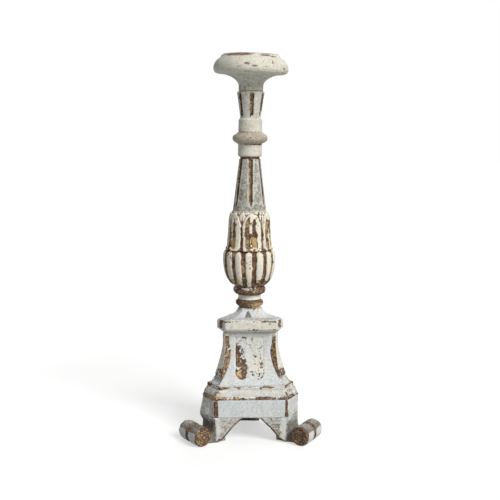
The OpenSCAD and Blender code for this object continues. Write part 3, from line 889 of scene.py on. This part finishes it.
# Gold on the lit, right-facing flute walls is a painted highlight.
share = wear(upper_stem, 41, arris=0.5, bare=1.25 * flute + 0.4 * blush, gold=0.75 * gold_and_highlight_wall,
             grime_and_shade=0.25 * (1 - plain) - 0.2 * rib_edge + 0.12 * blush, warm=0.45 + 0.4 * plain,
             patch=0.6, fleck=0.6, uneven=0.2)
lean(upper_stem)
settle(upper_stem, stem_paint, "stem_paint", "upper_stem")
print("upper stem bare over", round(100 * share), "%")


# %% [markdown]
# ## Rings and neck
# The knop and the two lower rings are beads on short sleeves. A sharp tool leaves fine
# ridges round the knop. The lower rings are the most handled parts of the stem, so they
# are nearly all bole, with gold glints low on the right side.

# %% Knop
knop_outline = [(384.5, 0), (384.5, 15.6), (385.6, 17.2), (386.6, 19.4), (388.2, 21.6),
                (390.6, 22.7),
                (392.8, 22.6), (394.6, 21.9), (396.2, 20.4), (397.0, 18.2), (397.6, 17.4),
                (398.6, 17.2), (399, 16.2), (399, 0)]
knop = turn_piece("knop_ring_turned", knop_outline,
                  lambda a, h, r:
                      r + (0.16 * np.sin(h * 3.6) + 0.1 * np.cos(2 * a)) * ramp(r, 17, 21),
                  around=300, step=0.4, soften=0.6)
tool_lines = ramp(np.sin(read_points(knop)[:, 2] * 3.6), 0.3, 1.0)
share = wear(knop, 51, arris=0.15, patch=0.62, bare=0.22 - 0.22 * tool_lines,
             grime_and_shade=0.1 + 0.2 * (1 - tool_lines), warm=0.6, film=0.15, uneven=0.2)
lean(knop)
settle(knop, knop_paint, "bare_ring", "knop_ring")
print("knop bare over", round(100 * share), "%")


# %% Lower rings and neck
def bead_outline(low, high, sleeve, bead, middle):
    """A round bead on a short sleeve."""
    reach = min(middle - low, high - middle, bead) - 0.2
    turn = math.degrees(math.asin(reach / bead))
    return ([(low, 0), (low, sleeve)] + arc(sleeve, middle, bead, bead, -turn, turn, 14)
            + [(high, sleeve), (high, 0)])


high_ring = turn_piece("high_ring_turned", bead_outline(188, 200.4, 15.8, 5.7, 194.2),
                       lambda a, h, r: r + 0.25 * np.cos(3 * a + 1), around=280, step=0.5,
                       soften=0.6)
points = read_points(high_ring)
upper_left = ramp(points[:, 2], 193, 197) * ramp(-points[:, 0], -4, 12)
share = wear(high_ring, 61, arris=0.0, bare=0.98 - 0.62 * upper_left, gold=0.28, patch=0.9,
             grime_and_shade=0.3,
             warm=0.4, film=0.35, uneven=0.35)
lean(high_ring)
settle(high_ring, ring_bole, "bole_rings", "high_ring")

low_ring = turn_piece("low_ring_turned", bead_outline(171, 182, 14, 4.5, 177.2),
                      lambda a, h, r: r + 0.2 * np.cos(2 * a - 1), around=280, step=0.5, soften=0.6)
points = read_points(low_ring)
low_right = ramp(178 - points[:, 2], -1, 2) * ramp(points[:, 0], -2, 6) * ramp(-points[:, 1], 0, 6)
share = wear(low_ring, 71, arris=0.0, bare=1.0, gold=0.22 + 0.6 * low_right, patch=0.8, grime_and_shade=0.3,
             film=0.35, uneven=0.35)
lean(low_ring)
settle(low_ring, ring_bole, "bole_rings", "low_ring")

neck_outline = [(182, 0), (182, 15.6), (183, 14.8), (185.2, 14.5), (187.2, 14.9), (188, 15.8),
                (188, 0)]
neck = turn_piece("stem_neck_turned", neck_outline, around=240, step=0.4, soften=0.5)
wear(neck, 81, arris=0.3, patch=0.3, grime_and_shade=0.05, warm=0.35, uneven=0.15)
lean(neck)
settle(neck, carved_paint, "carved_paint", "stem_neck")
print("rings and neck turned")

# %% [markdown]
# ## Gadrooned bulb
# Fourteen round lobes stand round the bulb, each ending in a blunt point under the cup.
# The carver first turned the bulb, then cut a channel between each pair and rounded the
# lobes over. Paint stays on the lobes; the channels are bole with flecks of gold, and the
# lobes run out into brown at the bottom, where hands took hold.

# %% Bulb
LOBES = 14
LOBE_TURN = math.radians(-2)
bulb_outline = ([(200, 0), (200, 18)] + arc(17.5, 234, 16.9, 34, 275, 360, 16)
                + [(238, 34.4)] + arc(30.2, 241, 4.0, 5.2, 12, 70, 5)
                + [(247.4, 30.6), (248, 30.2), (248, 0)])


def lobe_fields(angle, height, radius):
    """How far a point is on a lobe, 1 on it and 0 in the channel, and its side from -1 to 1."""
    pitch = 2 * np.pi / LOBES
    number = np.round((angle - LOBE_TURN) / pitch)
    side = wrap(angle, LOBE_TURN + 0.012 * np.sin(5 * number), pitch) / (pitch / 2)
    top = 246.9 + 0.4 * np.sin(3.1 * number)
    tip = np.clip((top - height) / 2.8, 0, 1) ** 0.5
    foot = 0.8 + 0.2 * ramp(height, 203, 222)
    half = (0.66 + 0.05 * np.sin(2.3 * number)) * foot * tip
    on_lobe = ramp(half - np.abs(side), -0.07, 0.1)
    crown = np.sqrt(np.clip(1 - (np.abs(side) / np.maximum(half, 0.02)) ** 2.6, 0, 1))
    return on_lobe, crown * (height < top), side


def carve_lobes(angle, height, radius):
    on_lobe, crown, _ = lobe_fields(angle, height, radius)
    whole = ramp(height, 200.5, 205) * ramp(247.8 - height, 0, 1.6)
    floor_cut = 2.9 * (1 - on_lobe) * whole
    return radius - floor_cut - 1.5 * (1 - crown) * on_lobe * whole


bulb = turn_piece("gadroon_bulb_carved", bulb_outline, carve_lobes, around=448, step=0.55,
                  soften=0.6)
points = read_points(bulb)
on_lobe, crown, side = lobe_fields(turning_angle(points), points[:, 2], None)
grip = ramp(214 - points[:, 2], -6, 12)
right_edge = on_lobe * ramp(side, 0.28, 0.6) * (0.5 + 0.5 * np.sin(9 * turning_angle(points)))
share = wear(bulb, 91, arris=0.12,
             bare=1.2 * (1 - on_lobe) + 0.5 * (1 - crown) + 0.75 * grip + 0.55 * right_edge,
             gold=0.34 + 0.28 * ramp(blotches(points, 9, 93), 0.1, 0.6), grime_and_shade=0.05 + 0.3 * grip,
             warm=0.95, patch=0.7, fleck=0.6, film=0.35, uneven=0.25)
lean(bulb)
settle(bulb, carved_paint, "carved_paint", "gadroon_bulb")
print("bulb bare over", round(100 * share), "%")

# %% [markdown]
# ## Leaf cup
# Six broad leaves wrap the foot of the stem, and the tips of six more peep out between
# them. Each leaf has a raised white border, a rib down its middle, and a channel on each
# side of the rib where the gold and the bole show. Both channels end in an arch under the
# border. The left one is wide; the right one starts thin and opens into a drop at the
# bottom. A narrow groove parts each leaf from the tips behind it.

# %% Leaves
LEAF_TURN = math.radians(6)
LEAF_PITCH = 2 * np.pi / 6
V_FOOT, LEAF_TOP, LEAF_HALF, LEAF_GROOVE = 278.0, 296.6, 12.9, 1.3
cup_outline = ([(248, 0), (248, 31.4), (249.4, 31.2)] + arc(31.2, 254.8, 1.9, 5.4, 250, 190, 5)
               + [(260, 28.9), (268, 28.1), (276, 27.6), (284, 27.1), (291, 26.4), (295, 25.4),
                  (297.2, 24.0), (298.5, 22.2), (298.5, 0)])


def leaf_fields(angle, height, radius):
    """Masks of the leaf cup: leaf, back tip, left channel, right channel, back line, groove."""
    number = np.round((angle - LEAF_TURN) / LEAF_PITCH)
    across = wrap(angle, LEAF_TURN, LEAF_PITCH) * radius
    across = across + 0.35 * np.sin(height / 7 + 2 * number)
    rise = np.clip((height - V_FOOT) / (LEAF_TOP + 0.5 * np.sin(4 * number) - V_FOOT), 0, 1)
    half = LEAF_HALF * np.clip(1 - rise ** 1.7, 0, 1) ** 0.55
    half = np.where(height < V_FOOT, np.minimum(LEAF_HALF, radius * LEAF_PITCH / 2 - 1.6), half)
    leaf = ramp(half - np.abs(across), -0.4, 0.5)
    back = wrap(angle, LEAF_TURN + LEAF_PITCH / 2, LEAF_PITCH) * radius
    tip_half = 8.0 * np.clip((LEAF_TOP + 1.0 - height) / 19, 0, 1) ** 0.55
    clear = 1 - ramp(half + LEAF_GROOVE - np.abs(across), -0.4, 0.5)
    tip = ramp(tip_half - np.abs(back), -0.3, 0.5) * ramp(height, 276, 279) * clear
    beside = np.minimum(np.abs(across) - half, np.abs(back) - tip_half)
    groove = ((1 - ramp(beside, 1.2, 2.2)) * ramp(LEAF_TOP + 1.2 - height, 0, 1)
              * (1 - leaf) * (1 - tip))
    line = (1 - ramp(np.abs(back), 0.5, 1.3)) * ramp(292 - height, 0, 3)
    arched = ramp(half - 3.4 - np.abs(across), -0.5, 0.6)
    left = (1 - ramp(np.abs(across + 6.4), 2.5, 3.4)) * ramp(293.5 - height, 0, 2.5) * arched
    mid = np.interp(height, (250, 262, 276, 284), (3.6, 3.4, 3.0, 2.8))
    wide = np.interp(height, (249, 256, 264, 272, 284), (3.0, 3.4, 2.5, 1.7, 1.4))
    right = (1 - ramp(np.abs(across - mid) - wide, -0.5, 0.4)) * ramp(290 - height, 0, 2.5) * arched
    both = ramp(height, 249.5, 251.5)
    return leaf, tip, left * leaf * both, right * leaf * both, line * (1 - leaf), groove


def carve_leaves(angle, height, radius):
    leaf, tip, left, right, line, _ = leaf_fields(angle, height, radius)
    ground = 2.5 * ramp(height, 248.6, 250.5) * ramp(298.5 - height, 0, 1.5)
    across = wrap(angle, LEAF_TURN, LEAF_PITCH) * radius
    border = 0.35 * ramp(np.abs(across), 8, 12) * leaf
    return (radius - ground * (1 - leaf) + 1.5 * tip - 0.9 * line * ramp(height, 277, 279)
            - 1.7 * left - 1.5 * right - border)


cup = turn_piece("leaf_cup_carved", cup_outline, carve_leaves, around=448, step=0.55, soften=0.7)
points = read_points(cup)
around_radius = np.hypot(points[:, 0], points[:, 1])
leaf, tip, left, right, line, gap = leaf_fields(turning_angle(points), points[:, 2],
                                                around_radius + 0.8)
drop = right * ramp(266 - points[:, 2], -3, 5)
across = wrap(turning_angle(points), LEAF_TURN, LEAF_PITCH) * around_radius
rubbed = (leaf * (1 - ramp(np.abs(across), 5.5, 8.5)) * ramp(points[:, 2], 250, 253)
          * ramp(289 - points[:, 2], 0, 8)
          * ramp(ragged(points * [1, 1, 0.3], 3.5, 103), -0.45, 0.3))
foot_line = ramp(251 - points[:, 2], 0, 1.5)
leaf_gold = 0.35 * left + 0.6 * drop + 0.3 * rubbed + 0.3 * gap * ramp(points[:, 2], 276, 284)
soft = spread(np.stack([left, right, gap, line], 1), read_edges(cup), 5).T
share = wear(cup, 101, arris=0.12,
             bare=(1.25 * soft[0] + 1.3 * soft[1] + 1.3 * soft[2] + 1.0 * soft[3] + 0.6 * foot_line
                   + 1.15 * rubbed),
             gold=0.16 + leaf_gold, grime_and_shade=0.06, warm=0.95, patch=0.7, fleck=0.6, film=0.35,
             uneven=0.22)
lean(cup)
settle(cup, carved_paint, "carved_paint", "leaf_cup")
print("cup bare over", round(100 * share), "%")


# %% [markdown]
# ## Joinery of the base
# The base is flat work, so its shapes come straight from the CAD pieces. A fresh CAD arris
# is razor sharp and the old one isn't. Each piece is copied, remade as an even skin of small
# faces, and eased, and then it can be carved and worn like the turned work. The copy is made
# with a Remesh modifier whose result becomes the mesh.

# %% Easing a CAD piece
CORNERS = {"left": 210, "right": 330, "back": 90}
FACES = {"front": 270, "right": 30, "left": 150}


def eased(node, name, voxel=0.9, passes=2):
    """A copy of a CAD piece as an even skin with softened arrises."""
    piece = bpy.data.objects.new(name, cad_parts[node].data.copy())
    scene.collection.objects.link(piece)
    skin = piece.modifiers.new("skin", "REMESH")
    skin.mode = "VOXEL"
    skin.voxel_size = voxel / MM
    shape = bpy.data.meshes.new_from_object(
        piece.evaluated_get(bpy.context.evaluated_depsgraph_get()))
    piece.modifiers.clear()
    piece.data = shape
    piece.data.shade_smooth()
    write_points(piece, spread(read_points(piece), read_edges(piece), passes))
    return piece


def directions(azimuth):
    """The level directions outwards and to the right, seen from one side."""
    turn = math.radians(azimuth)
    return (np.array([math.cos(turn), math.sin(turn), 0]),
            np.array([-math.sin(turn), math.cos(turn), 0]))


def local(points, azimuth):
    """Points seen from one side: distance out, distance to the right, and height."""
    turn = math.radians(azimuth)
    out = points[:, 0] * math.cos(turn) + points[:, 1] * math.sin(turn)
    right = -points[:, 0] * math.sin(turn) + points[:, 1] * math.cos(turn)
    return out, right, points[:, 2]


def settle_painted(piece, node):
    """Settles a painted piece of the base in the place of its CAD node."""
    return settle(piece, base_paint, "old_paint", node)


print("easing ready")

# %% [markdown]
# ## Rolled feet
# Each foot is a leg between two brackets, and it ends in a tight roll like a scroll of
# paper. The roll's ends are rounded over and carry a spiral, and a groove runs round its
# middle. The spiral is a groove whose distance from the roll's axis grows with the turn.
# The arches between the feet are rubbed too, so a brown band follows each lower edge. The
# left corner bulges outwards low down.

# %% Feet
SCROLL_OUT, SCROLL_UP, SCROLL_HALF, SCROLL_R = 84.0, 11.9, 23.0, 12.2
SWELL, END_SHRINK, FLARE = 0.07, 0.12, 4.5
ARCH_PLACES, ARCH_HEIGHTS = (10, 24, 36, 40), (33, 19.5, 5, 1.5)


def foot_fields(points, azimuth):
    """Roll radius, turn and place along the roll, and masks of the roll, its ends and groove."""
    out, along, up = local(points, azimuth)
    roll_r = np.hypot(out - SCROLL_OUT, up - SCROLL_UP)
    roll_turn = np.arctan2(up - SCROLL_UP, out - SCROLL_OUT)
    on_roll = ramp(SCROLL_R + 0.8 - roll_r, 0, 0.4)
    ends = ramp(np.abs(along), SCROLL_HALF - 3.0, SCROLL_HALF - 2.2) * on_roll
    groove = (1 - ramp(np.abs(along), 2.0, 3.4)) * on_roll * ramp(roll_r, 7, 9)
    return out, along, up, roll_r, roll_turn, on_roll, ends, groove


def arch_line(points):
    """A narrow band along the lower edge of the brackets, on the long faces of the base."""
    band = np.zeros(len(points))
    for azimuth in FACES.values():
        out, along, up = local(points, azimuth)
        above = up - np.interp(np.abs(along), ARCH_PLACES, ARCH_HEIGHTS)
        shown = ramp(out, 42.5, 44) * ramp(44 - np.abs(along), 0, 3)
        band = np.maximum(band, (1 - ramp(above, 2.2, 3.4)) * shown)
    return band


def flare_left(piece):
    """Bulges the left corner outwards low down, over its foot, away from the front board."""
    points = read_points(piece)
    out, along, up = local(points, CORNERS["left"])
    push = (FLARE * ramp(58 - up, 0, 24) * ramp(up, 22, 34)
            * ramp(out, 50, 60) * ramp(12 - along, 0, 14))
    points += push[:, None] * directions(CORNERS["left"])[0]
    write_points(piece, points)


def carve_foot(piece, azimuth):
    """Rounds the ends of the roll and cuts a spiral into them."""
    points = read_points(piece)
    _, along, up, roll_r, roll_turn, on_roll, ends, _ = foot_fields(points, azimuth)
    outward, axis = directions(azimuth)
    near_end = np.clip((np.abs(along) - (SCROLL_HALF - 3.2)) / 3.2, 0, 1) * on_roll
    swell = 1 + SWELL * ramp(up - SCROLL_UP, 0, 8)
    shrink = (1 - END_SHRINK * near_end ** 2 * (roll_r > 5)) * swell
    centre = np.stack([np.zeros(len(points))] * 3, 1)
    centre[:] = outward * SCROLL_OUT
    centre += axis * along[:, None]
    centre[:, 2] = SCROLL_UP
    points = np.where(on_roll[:, None] > 0, centre + (points - centre) * shrink[:, None], points)
    coil = (roll_r - 2.6 * (np.sign(along) * roll_turn + math.pi) / (2 * math.pi) * 1.55) / 4.03
    line = 1 - ramp(np.abs(coil - np.round(coil)), 0.10, 0.24)
    cut = ends * line * ramp(roll_r, 1.4, 2.6) * ramp(10.6 - roll_r, 0, 1.2)
    points -= axis * (np.sign(along) * (1.3 * cut + 0.5 * ends * ramp(9 - roll_r, 0, 8)))[:, None]
    write_points(piece, points)
    return cut


for place, azimuth in CORNERS.items():
    foot = eased("foot_" + place, "foot_" + place + "_scrolled", voxel=0.95)
    spiral = carve_foot(foot, azimuth)
    points = read_points(foot)
    out, along, up, roll_r, roll_turn, on_roll, ends, groove = foot_fields(points, azimuth)
    joint = ramp(31.5 - up, -0.6, 1.2)
    sole = ramp(1.4 - up, 0, 1.0)
    # The next mask darkens the recess between the leg and the roll as painted shade; the leg mask
    # below darkens the leg behind the roll, part grime and part painted shade.
    recess_shade = ramp(out, 58, 64) * ramp(30 - up, 0, 10) * (1 - on_roll)
    face_wear = ends * ramp(11.2 - roll_r, -0.6, 1.4)
    leg = ramp(out, 60, 63) * (1 - on_roll)
    bracket = (1 - ramp(out, 54, 60))
    share = wear(foot, 110 + azimuth, arris=1.3, arris_at=0.4, edges_where=joint,
                 bare=1.35 * face_wear + 1.2 * groove + 0.2 * sole + 1.3 * arch_line(points),
                 gold=0.45 * groove + 0.55 * face_wear * (1 - spiral) * (place == "left"),
                 grime_and_shade=0.3 * recess_shade + 0.54 * bracket + 0.54 * leg + 0.2 * sole,
                 warm=0.15 + 0.35 * bracket, patch=0.6, fleck=0.5, uneven=0.3)
    if place == "left":
        flare_left(foot)
    points = read_points(foot)
    points[:, 2] = np.maximum(points[:, 2], 0)
    write_points(foot, points)
    settle_painted(foot, "foot_" + place)
    print(foot.name, len(foot.data.polygons), "faces, bare over", round(100 * share), "%")

# %% [markdown]
# ## Plinth box
# Three boards and three corner blocks make a box with cut corners. Its faces keep a cool,
# even coat; only the upright arrises are rubbed to the wood, in long slightly curved strips.

# %% Boards and blocks
for place, azimuth in FACES.items():
    board = eased("plinth_board_" + place, "plinth_board_" + place + "_painted", voxel=0.9)
    out, along, up = local(read_points(board), azimuth)
    strip = ramp(np.abs(along), 44.6, 46.2) * ramp(out, 42, 44.5)
    middle = ramp(np.minimum(up - 34.5, 55 - up), 0, 1.5)
    strip_from = np.where(along < 0, 42.4, 43.9) + 0.5 * np.sin(up / 7.0)
    streak = ramp(np.abs(along) - strip_from, -0.3, 0.4) * ramp(out, 41.0, 42.5)
    share = wear(board, 140 + azimuth, arris=0.2, edges_where=strip * middle,
                 bare=1.4 * streak, grime_and_shade=0.06, warm=0.05, patch=0.35, fleck=0.2, uneven=0.2,
                 gold=0.1)
    settle_painted(board, "plinth_board_" + place)

for place, azimuth in CORNERS.items():
    block = eased("corner_block_" + place, "corner_block_" + place + "_painted", voxel=0.9)
    out, along, up = local(read_points(block), azimuth)
    upright = ramp(np.abs(along), 12.5, 14) * ramp(np.minimum(up - 34.5, 55 - up), 0, 1.5)
    share = wear(block, 170 + azimuth, arris=1.1, edges_where=upright, grime_and_shade=0.32, warm=0.3,
                 patch=0.6, uneven=0.25, gold=0.1)
    if place == "left":
        flare_left(block)
    settle_painted(block, "corner_block_" + place)
print("plinth box made")

# %% [markdown]
# ## Moulded board
# One thick board lies on the box, with a rounded edge between two fillets. The fillets
# stand proud, so each is a broken brown line, and the mitres at the corners are rubbed too.

# %% Moulded board
board = eased("moulded_board", "moulded_board_painted", voxel=0.9)
points = read_points(board)
azimuth = np.degrees(np.arctan2(points[:, 1], points[:, 0]))
from_axis = np.hypot(points[:, 0], points[:, 1])
shown = ramp(points[:, 2], 57, 58) * np.where(points[:, 2] > 72.6, ramp(from_axis, 36, 42), 1)
low_line = 1 - ramp(np.abs(points[:, 2] - 58.6), 1.3, 3.3)
broken = ramp(ragged(points, 9, 205), -0.25, 0.2)
top_line = 1 - ramp(np.abs(points[:, 2] - 71.2), 0.9, 3.0)
cut_corner = ramp(from_axis, 56, 60)
share = wear(board, 201, arris=0.8, arris_at=0.42, edges_where=shown,
             bare=(low_line * (0.55 + 0.5 * broken) + top_line * broken * ramp(from_axis, 38, 43)
                   + 0.25 * cut_corner),
             grime_and_shade=0.08 + 0.4 * cut_corner, warm=0.5, patch=0.85, uneven=0.25,
             gold=0.12 + 0.45 * low_line * ramp(-points[:, 0], 0, 20))
settle_painted(board, "moulded_board")
print("moulded board bare over", round(100 * share), "%")

# %% [markdown]
# ## Side panels
# Three waisted panels close the pedestal. Each carries a low cartouche: a sunk outline with
# a flat head and two round lobes at its foot. Its left half has lost most of its paint, and
# the rest is speckled. A nail was driven through each panel into the core.

# %% Panels
CARTOUCHE_LEFT, CARTOUCHE_RIGHT, CARTOUCHE_TOP, CARTOUCHE_FOOT = -20.0, 17.5, 135.0, 80.5
LOBE_R, LOBE_INSET = 8.6, 8.4


def cartouche(side, up):
    """Signed distance into the cartouche in mm: over 0 inside its outline."""
    flare = 2.2 * ramp(92 - up, 0, 8)
    box_side = np.minimum(side - CARTOUCHE_LEFT + flare, CARTOUCHE_RIGHT - side + 0.6 * flare)
    under = np.minimum(up - (CARTOUCHE_FOOT + LOBE_INSET), 0)
    lobe_l = LOBE_R - np.hypot(side - (CARTOUCHE_LEFT + LOBE_INSET), under)
    lobe_r = LOBE_R - np.hypot(side - (CARTOUCHE_RIGHT - LOBE_INSET), under)
    foot = np.where(up < CARTOUCHE_FOOT + LOBE_INSET, np.maximum(lobe_l, lobe_r), 99)
    return np.minimum(np.minimum(box_side, CARTOUCHE_TOP - up), foot)


for place, azimuth in FACES.items():
    panel = eased("side_panel_" + place, "side_panel_" + place + "_painted", voxel=0.75)
    points, normals = read_points(panel), read_normals(panel)
    out, along, up = local(points, azimuth)
    outer = ramp(normals @ directions(azimuth)[0], 0.3, 0.6)
    inside = cartouche(along, up)
    outline = (1 - ramp(np.abs(inside - 0.6), 0.5, 1.5)) * outer
    field_in = ramp(inside, -0.2, 1.0) * outer
    points -= normals * (0.35 * outline + 0.3 * field_in)[:, None]
    write_points(panel, points)
    left_column = ramp(-4.5 - along, -1.5, 2.5) * ramp(124 - up, -3, 5)
    head = ramp(up, 124, 127) * ramp(-4 - along, -2, 2)
    lobes_low = ramp(93 - up, -3, 6) * (0.55 + 0.45 * ramp(np.abs(along + 1), 3, 7))
    right_rim = ramp(along, 9, 14) * 0.5
    speckle = ramp(ragged(points, 1.8, azimuth), 0.05, 0.5)
    torn_column = (0.5 + 0.4 * ramp(ragged(points, 5, 237), -0.5, 0.3)) * left_column
    bare_in = field_in * (torn_column + 0.35 * head + 0.45 * lobes_low + 0.4 * right_rim
                          + speckle * (0.8 + 0.5 * head + 0.45 * lobes_low + 0.55 * right_rim))
    edges = ramp(np.minimum(up - 75, 138 - up), 0, 1.5) * outer
    low_corner = field_in * ramp(94 - up, -4, 8) * ramp(-along, 8, 14)
    share = wear(panel, 230 + azimuth, arris=0.25, edges_where=edges * (1 - field_in),
                 bare=np.minimum(bare_in, 1.05) + 0.12 * outline * field_in,
                 fleck=0.35 + 0.4 * field_in,
                 gold=0.12 + 0.5 * low_corner, grime_and_shade=0.04 + 0.12 * ramp(84 - up, 0, 10),
                 warm=0.12 + 0.45 * field_in * ramp(along, -8, -4),
                 patch=0.55 * (0.55 + 0.45 * field_in),
                 uneven=0.2)
    settle_painted(panel, "side_panel_" + place)
    print(panel.name, "bare over", round(100 * share), "%")

# %% [markdown]
# ## Corner stiles
# A post stands at each corner, narrow at the waist and flaring to its foot. The flanks were
# gilded and are now brown and gold; the front edge is cream, and each post's lower end is
# cut back to bare wood.

# %% Stiles
for place, azimuth in CORNERS.items():
    stile = eased("corner_stile_" + place, "corner_stile_" + place + "_painted", voxel=0.8)
    points, normals = read_points(stile), read_normals(stile)
    out, along, up = local(points, azimuth)
    facing = normals @ directions(azimuth)[0]
    flank = ramp(0.62 - facing, 0, 0.2) * ramp(up, 82, 85) * ramp(138 - up, 0, 4)
    end_cut = ramp(94 - up, -3, 3) * ramp(up, 81.5, 83) * ramp(out, 40, 43)
    share = wear(stile, 260 + azimuth, arris=0.7, arris_at=0.45,
                 edges_where=ramp(up, 80, 84) * ramp(137 - up, 0, 2),
                 bare=0.95 * flank + 0.9 * end_cut,
                 gold=0.45 * flank, grime_and_shade=0.06 + 0.3 * ramp(84 - up, 0, 3),
                 warm=0.75 - 0.4 * ramp(84 - up, 0, 3),
                 patch=0.55, uneven=0.25)
    settle_painted(stile, "corner_stile_" + place)
print("stiles made")

# %% [markdown]
# ## Cornice and roof
# The cornice has a flat face over a small fillet and a cove. Its corner blocks are rubbed
# in the middle. The roof sweeps up hollow on all sides to the first ring, and one knock on
# its front has filled with grey.

# %% Cornice
cornice = eased("cornice", "cornice_painted", voxel=0.8)
points = read_points(cornice)
bare_cornice = np.zeros(len(points))
for place, azimuth in CORNERS.items():
    out, along, up = local(points, azimuth)
    oval = np.hypot(along / 5.6, (up - 151.5) / 6.2)
    bare_cornice = np.maximum(bare_cornice, (1 - ramp(oval, 0.6, 1.25)) * ramp(out, 42, 43.5))
top_edge = ((1 - ramp(np.abs(points[:, 2] - 156.2), 0.5, 1.6))
            * ramp(blotches(points, 9, 303), -0.2, 0.3))
shown = ramp(points[:, 2], 142, 145) * np.where(points[:, 2] > 156.4, 0.7, 1.0)
share = wear(cornice, 301, arris=0.62, arris_at=0.5, edges_where=shown,
             bare=0.95 * bare_cornice + 0.5 * top_edge,
             grime_and_shade=0.06, warm=0.72, patch=0.6, uneven=0.25, gold=0.1)
settle_painted(cornice, "cornice")
print("cornice bare over", round(100 * share), "%")

# %% Roof
roof = eased("roof_block", "roof_block_painted", voxel=0.8)
points = read_points(roof)
knock = np.maximum(np.abs(points[:, 0] + 3) - 0.5 * np.clip(168 - points[:, 2], 0, 8), 0)
knock = ((1 - ramp(knock, 0.2, 1.2)) * ramp(points[:, 2], 159.6, 160.6)
         * ramp(167.8 - points[:, 2], 0, 0.6))
knock = knock * ramp(-points[:, 1], 6, 9)
foot_line = ramp(161 - points[:, 2], 0, 2) * 0.35
share = wear(roof, 311, arris=0.45, arris_at=0.5, edges_where=ramp(points[:, 2], 159.5, 161.5),
             grime_and_shade=0.04 + 0.9 * knock + foot_line, warm=0.2, patch=0.35, uneven=0.22)
settle_painted(roof, "roof_block")
print("roof bare over", round(100 * share), "%")

# %% [markdown]
# ## What stays as the CAD made it
# Dowels, glue blocks, the core and the nails are plain shapes that hardly show. They keep
# their CAD meshes and take the finish of bare wood or black iron.

# %% Hidden parts
for name in ("foot_dowels", "glue_blocks", "pedestal_core", "core_dowels", "centre_dowel"):
    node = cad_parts[name]
    for slot in node.material_slots:
        slot.material = raw_wood
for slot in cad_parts["panel_nails"].material_slots:
    slot.material = black_iron
print("hidden parts finished")
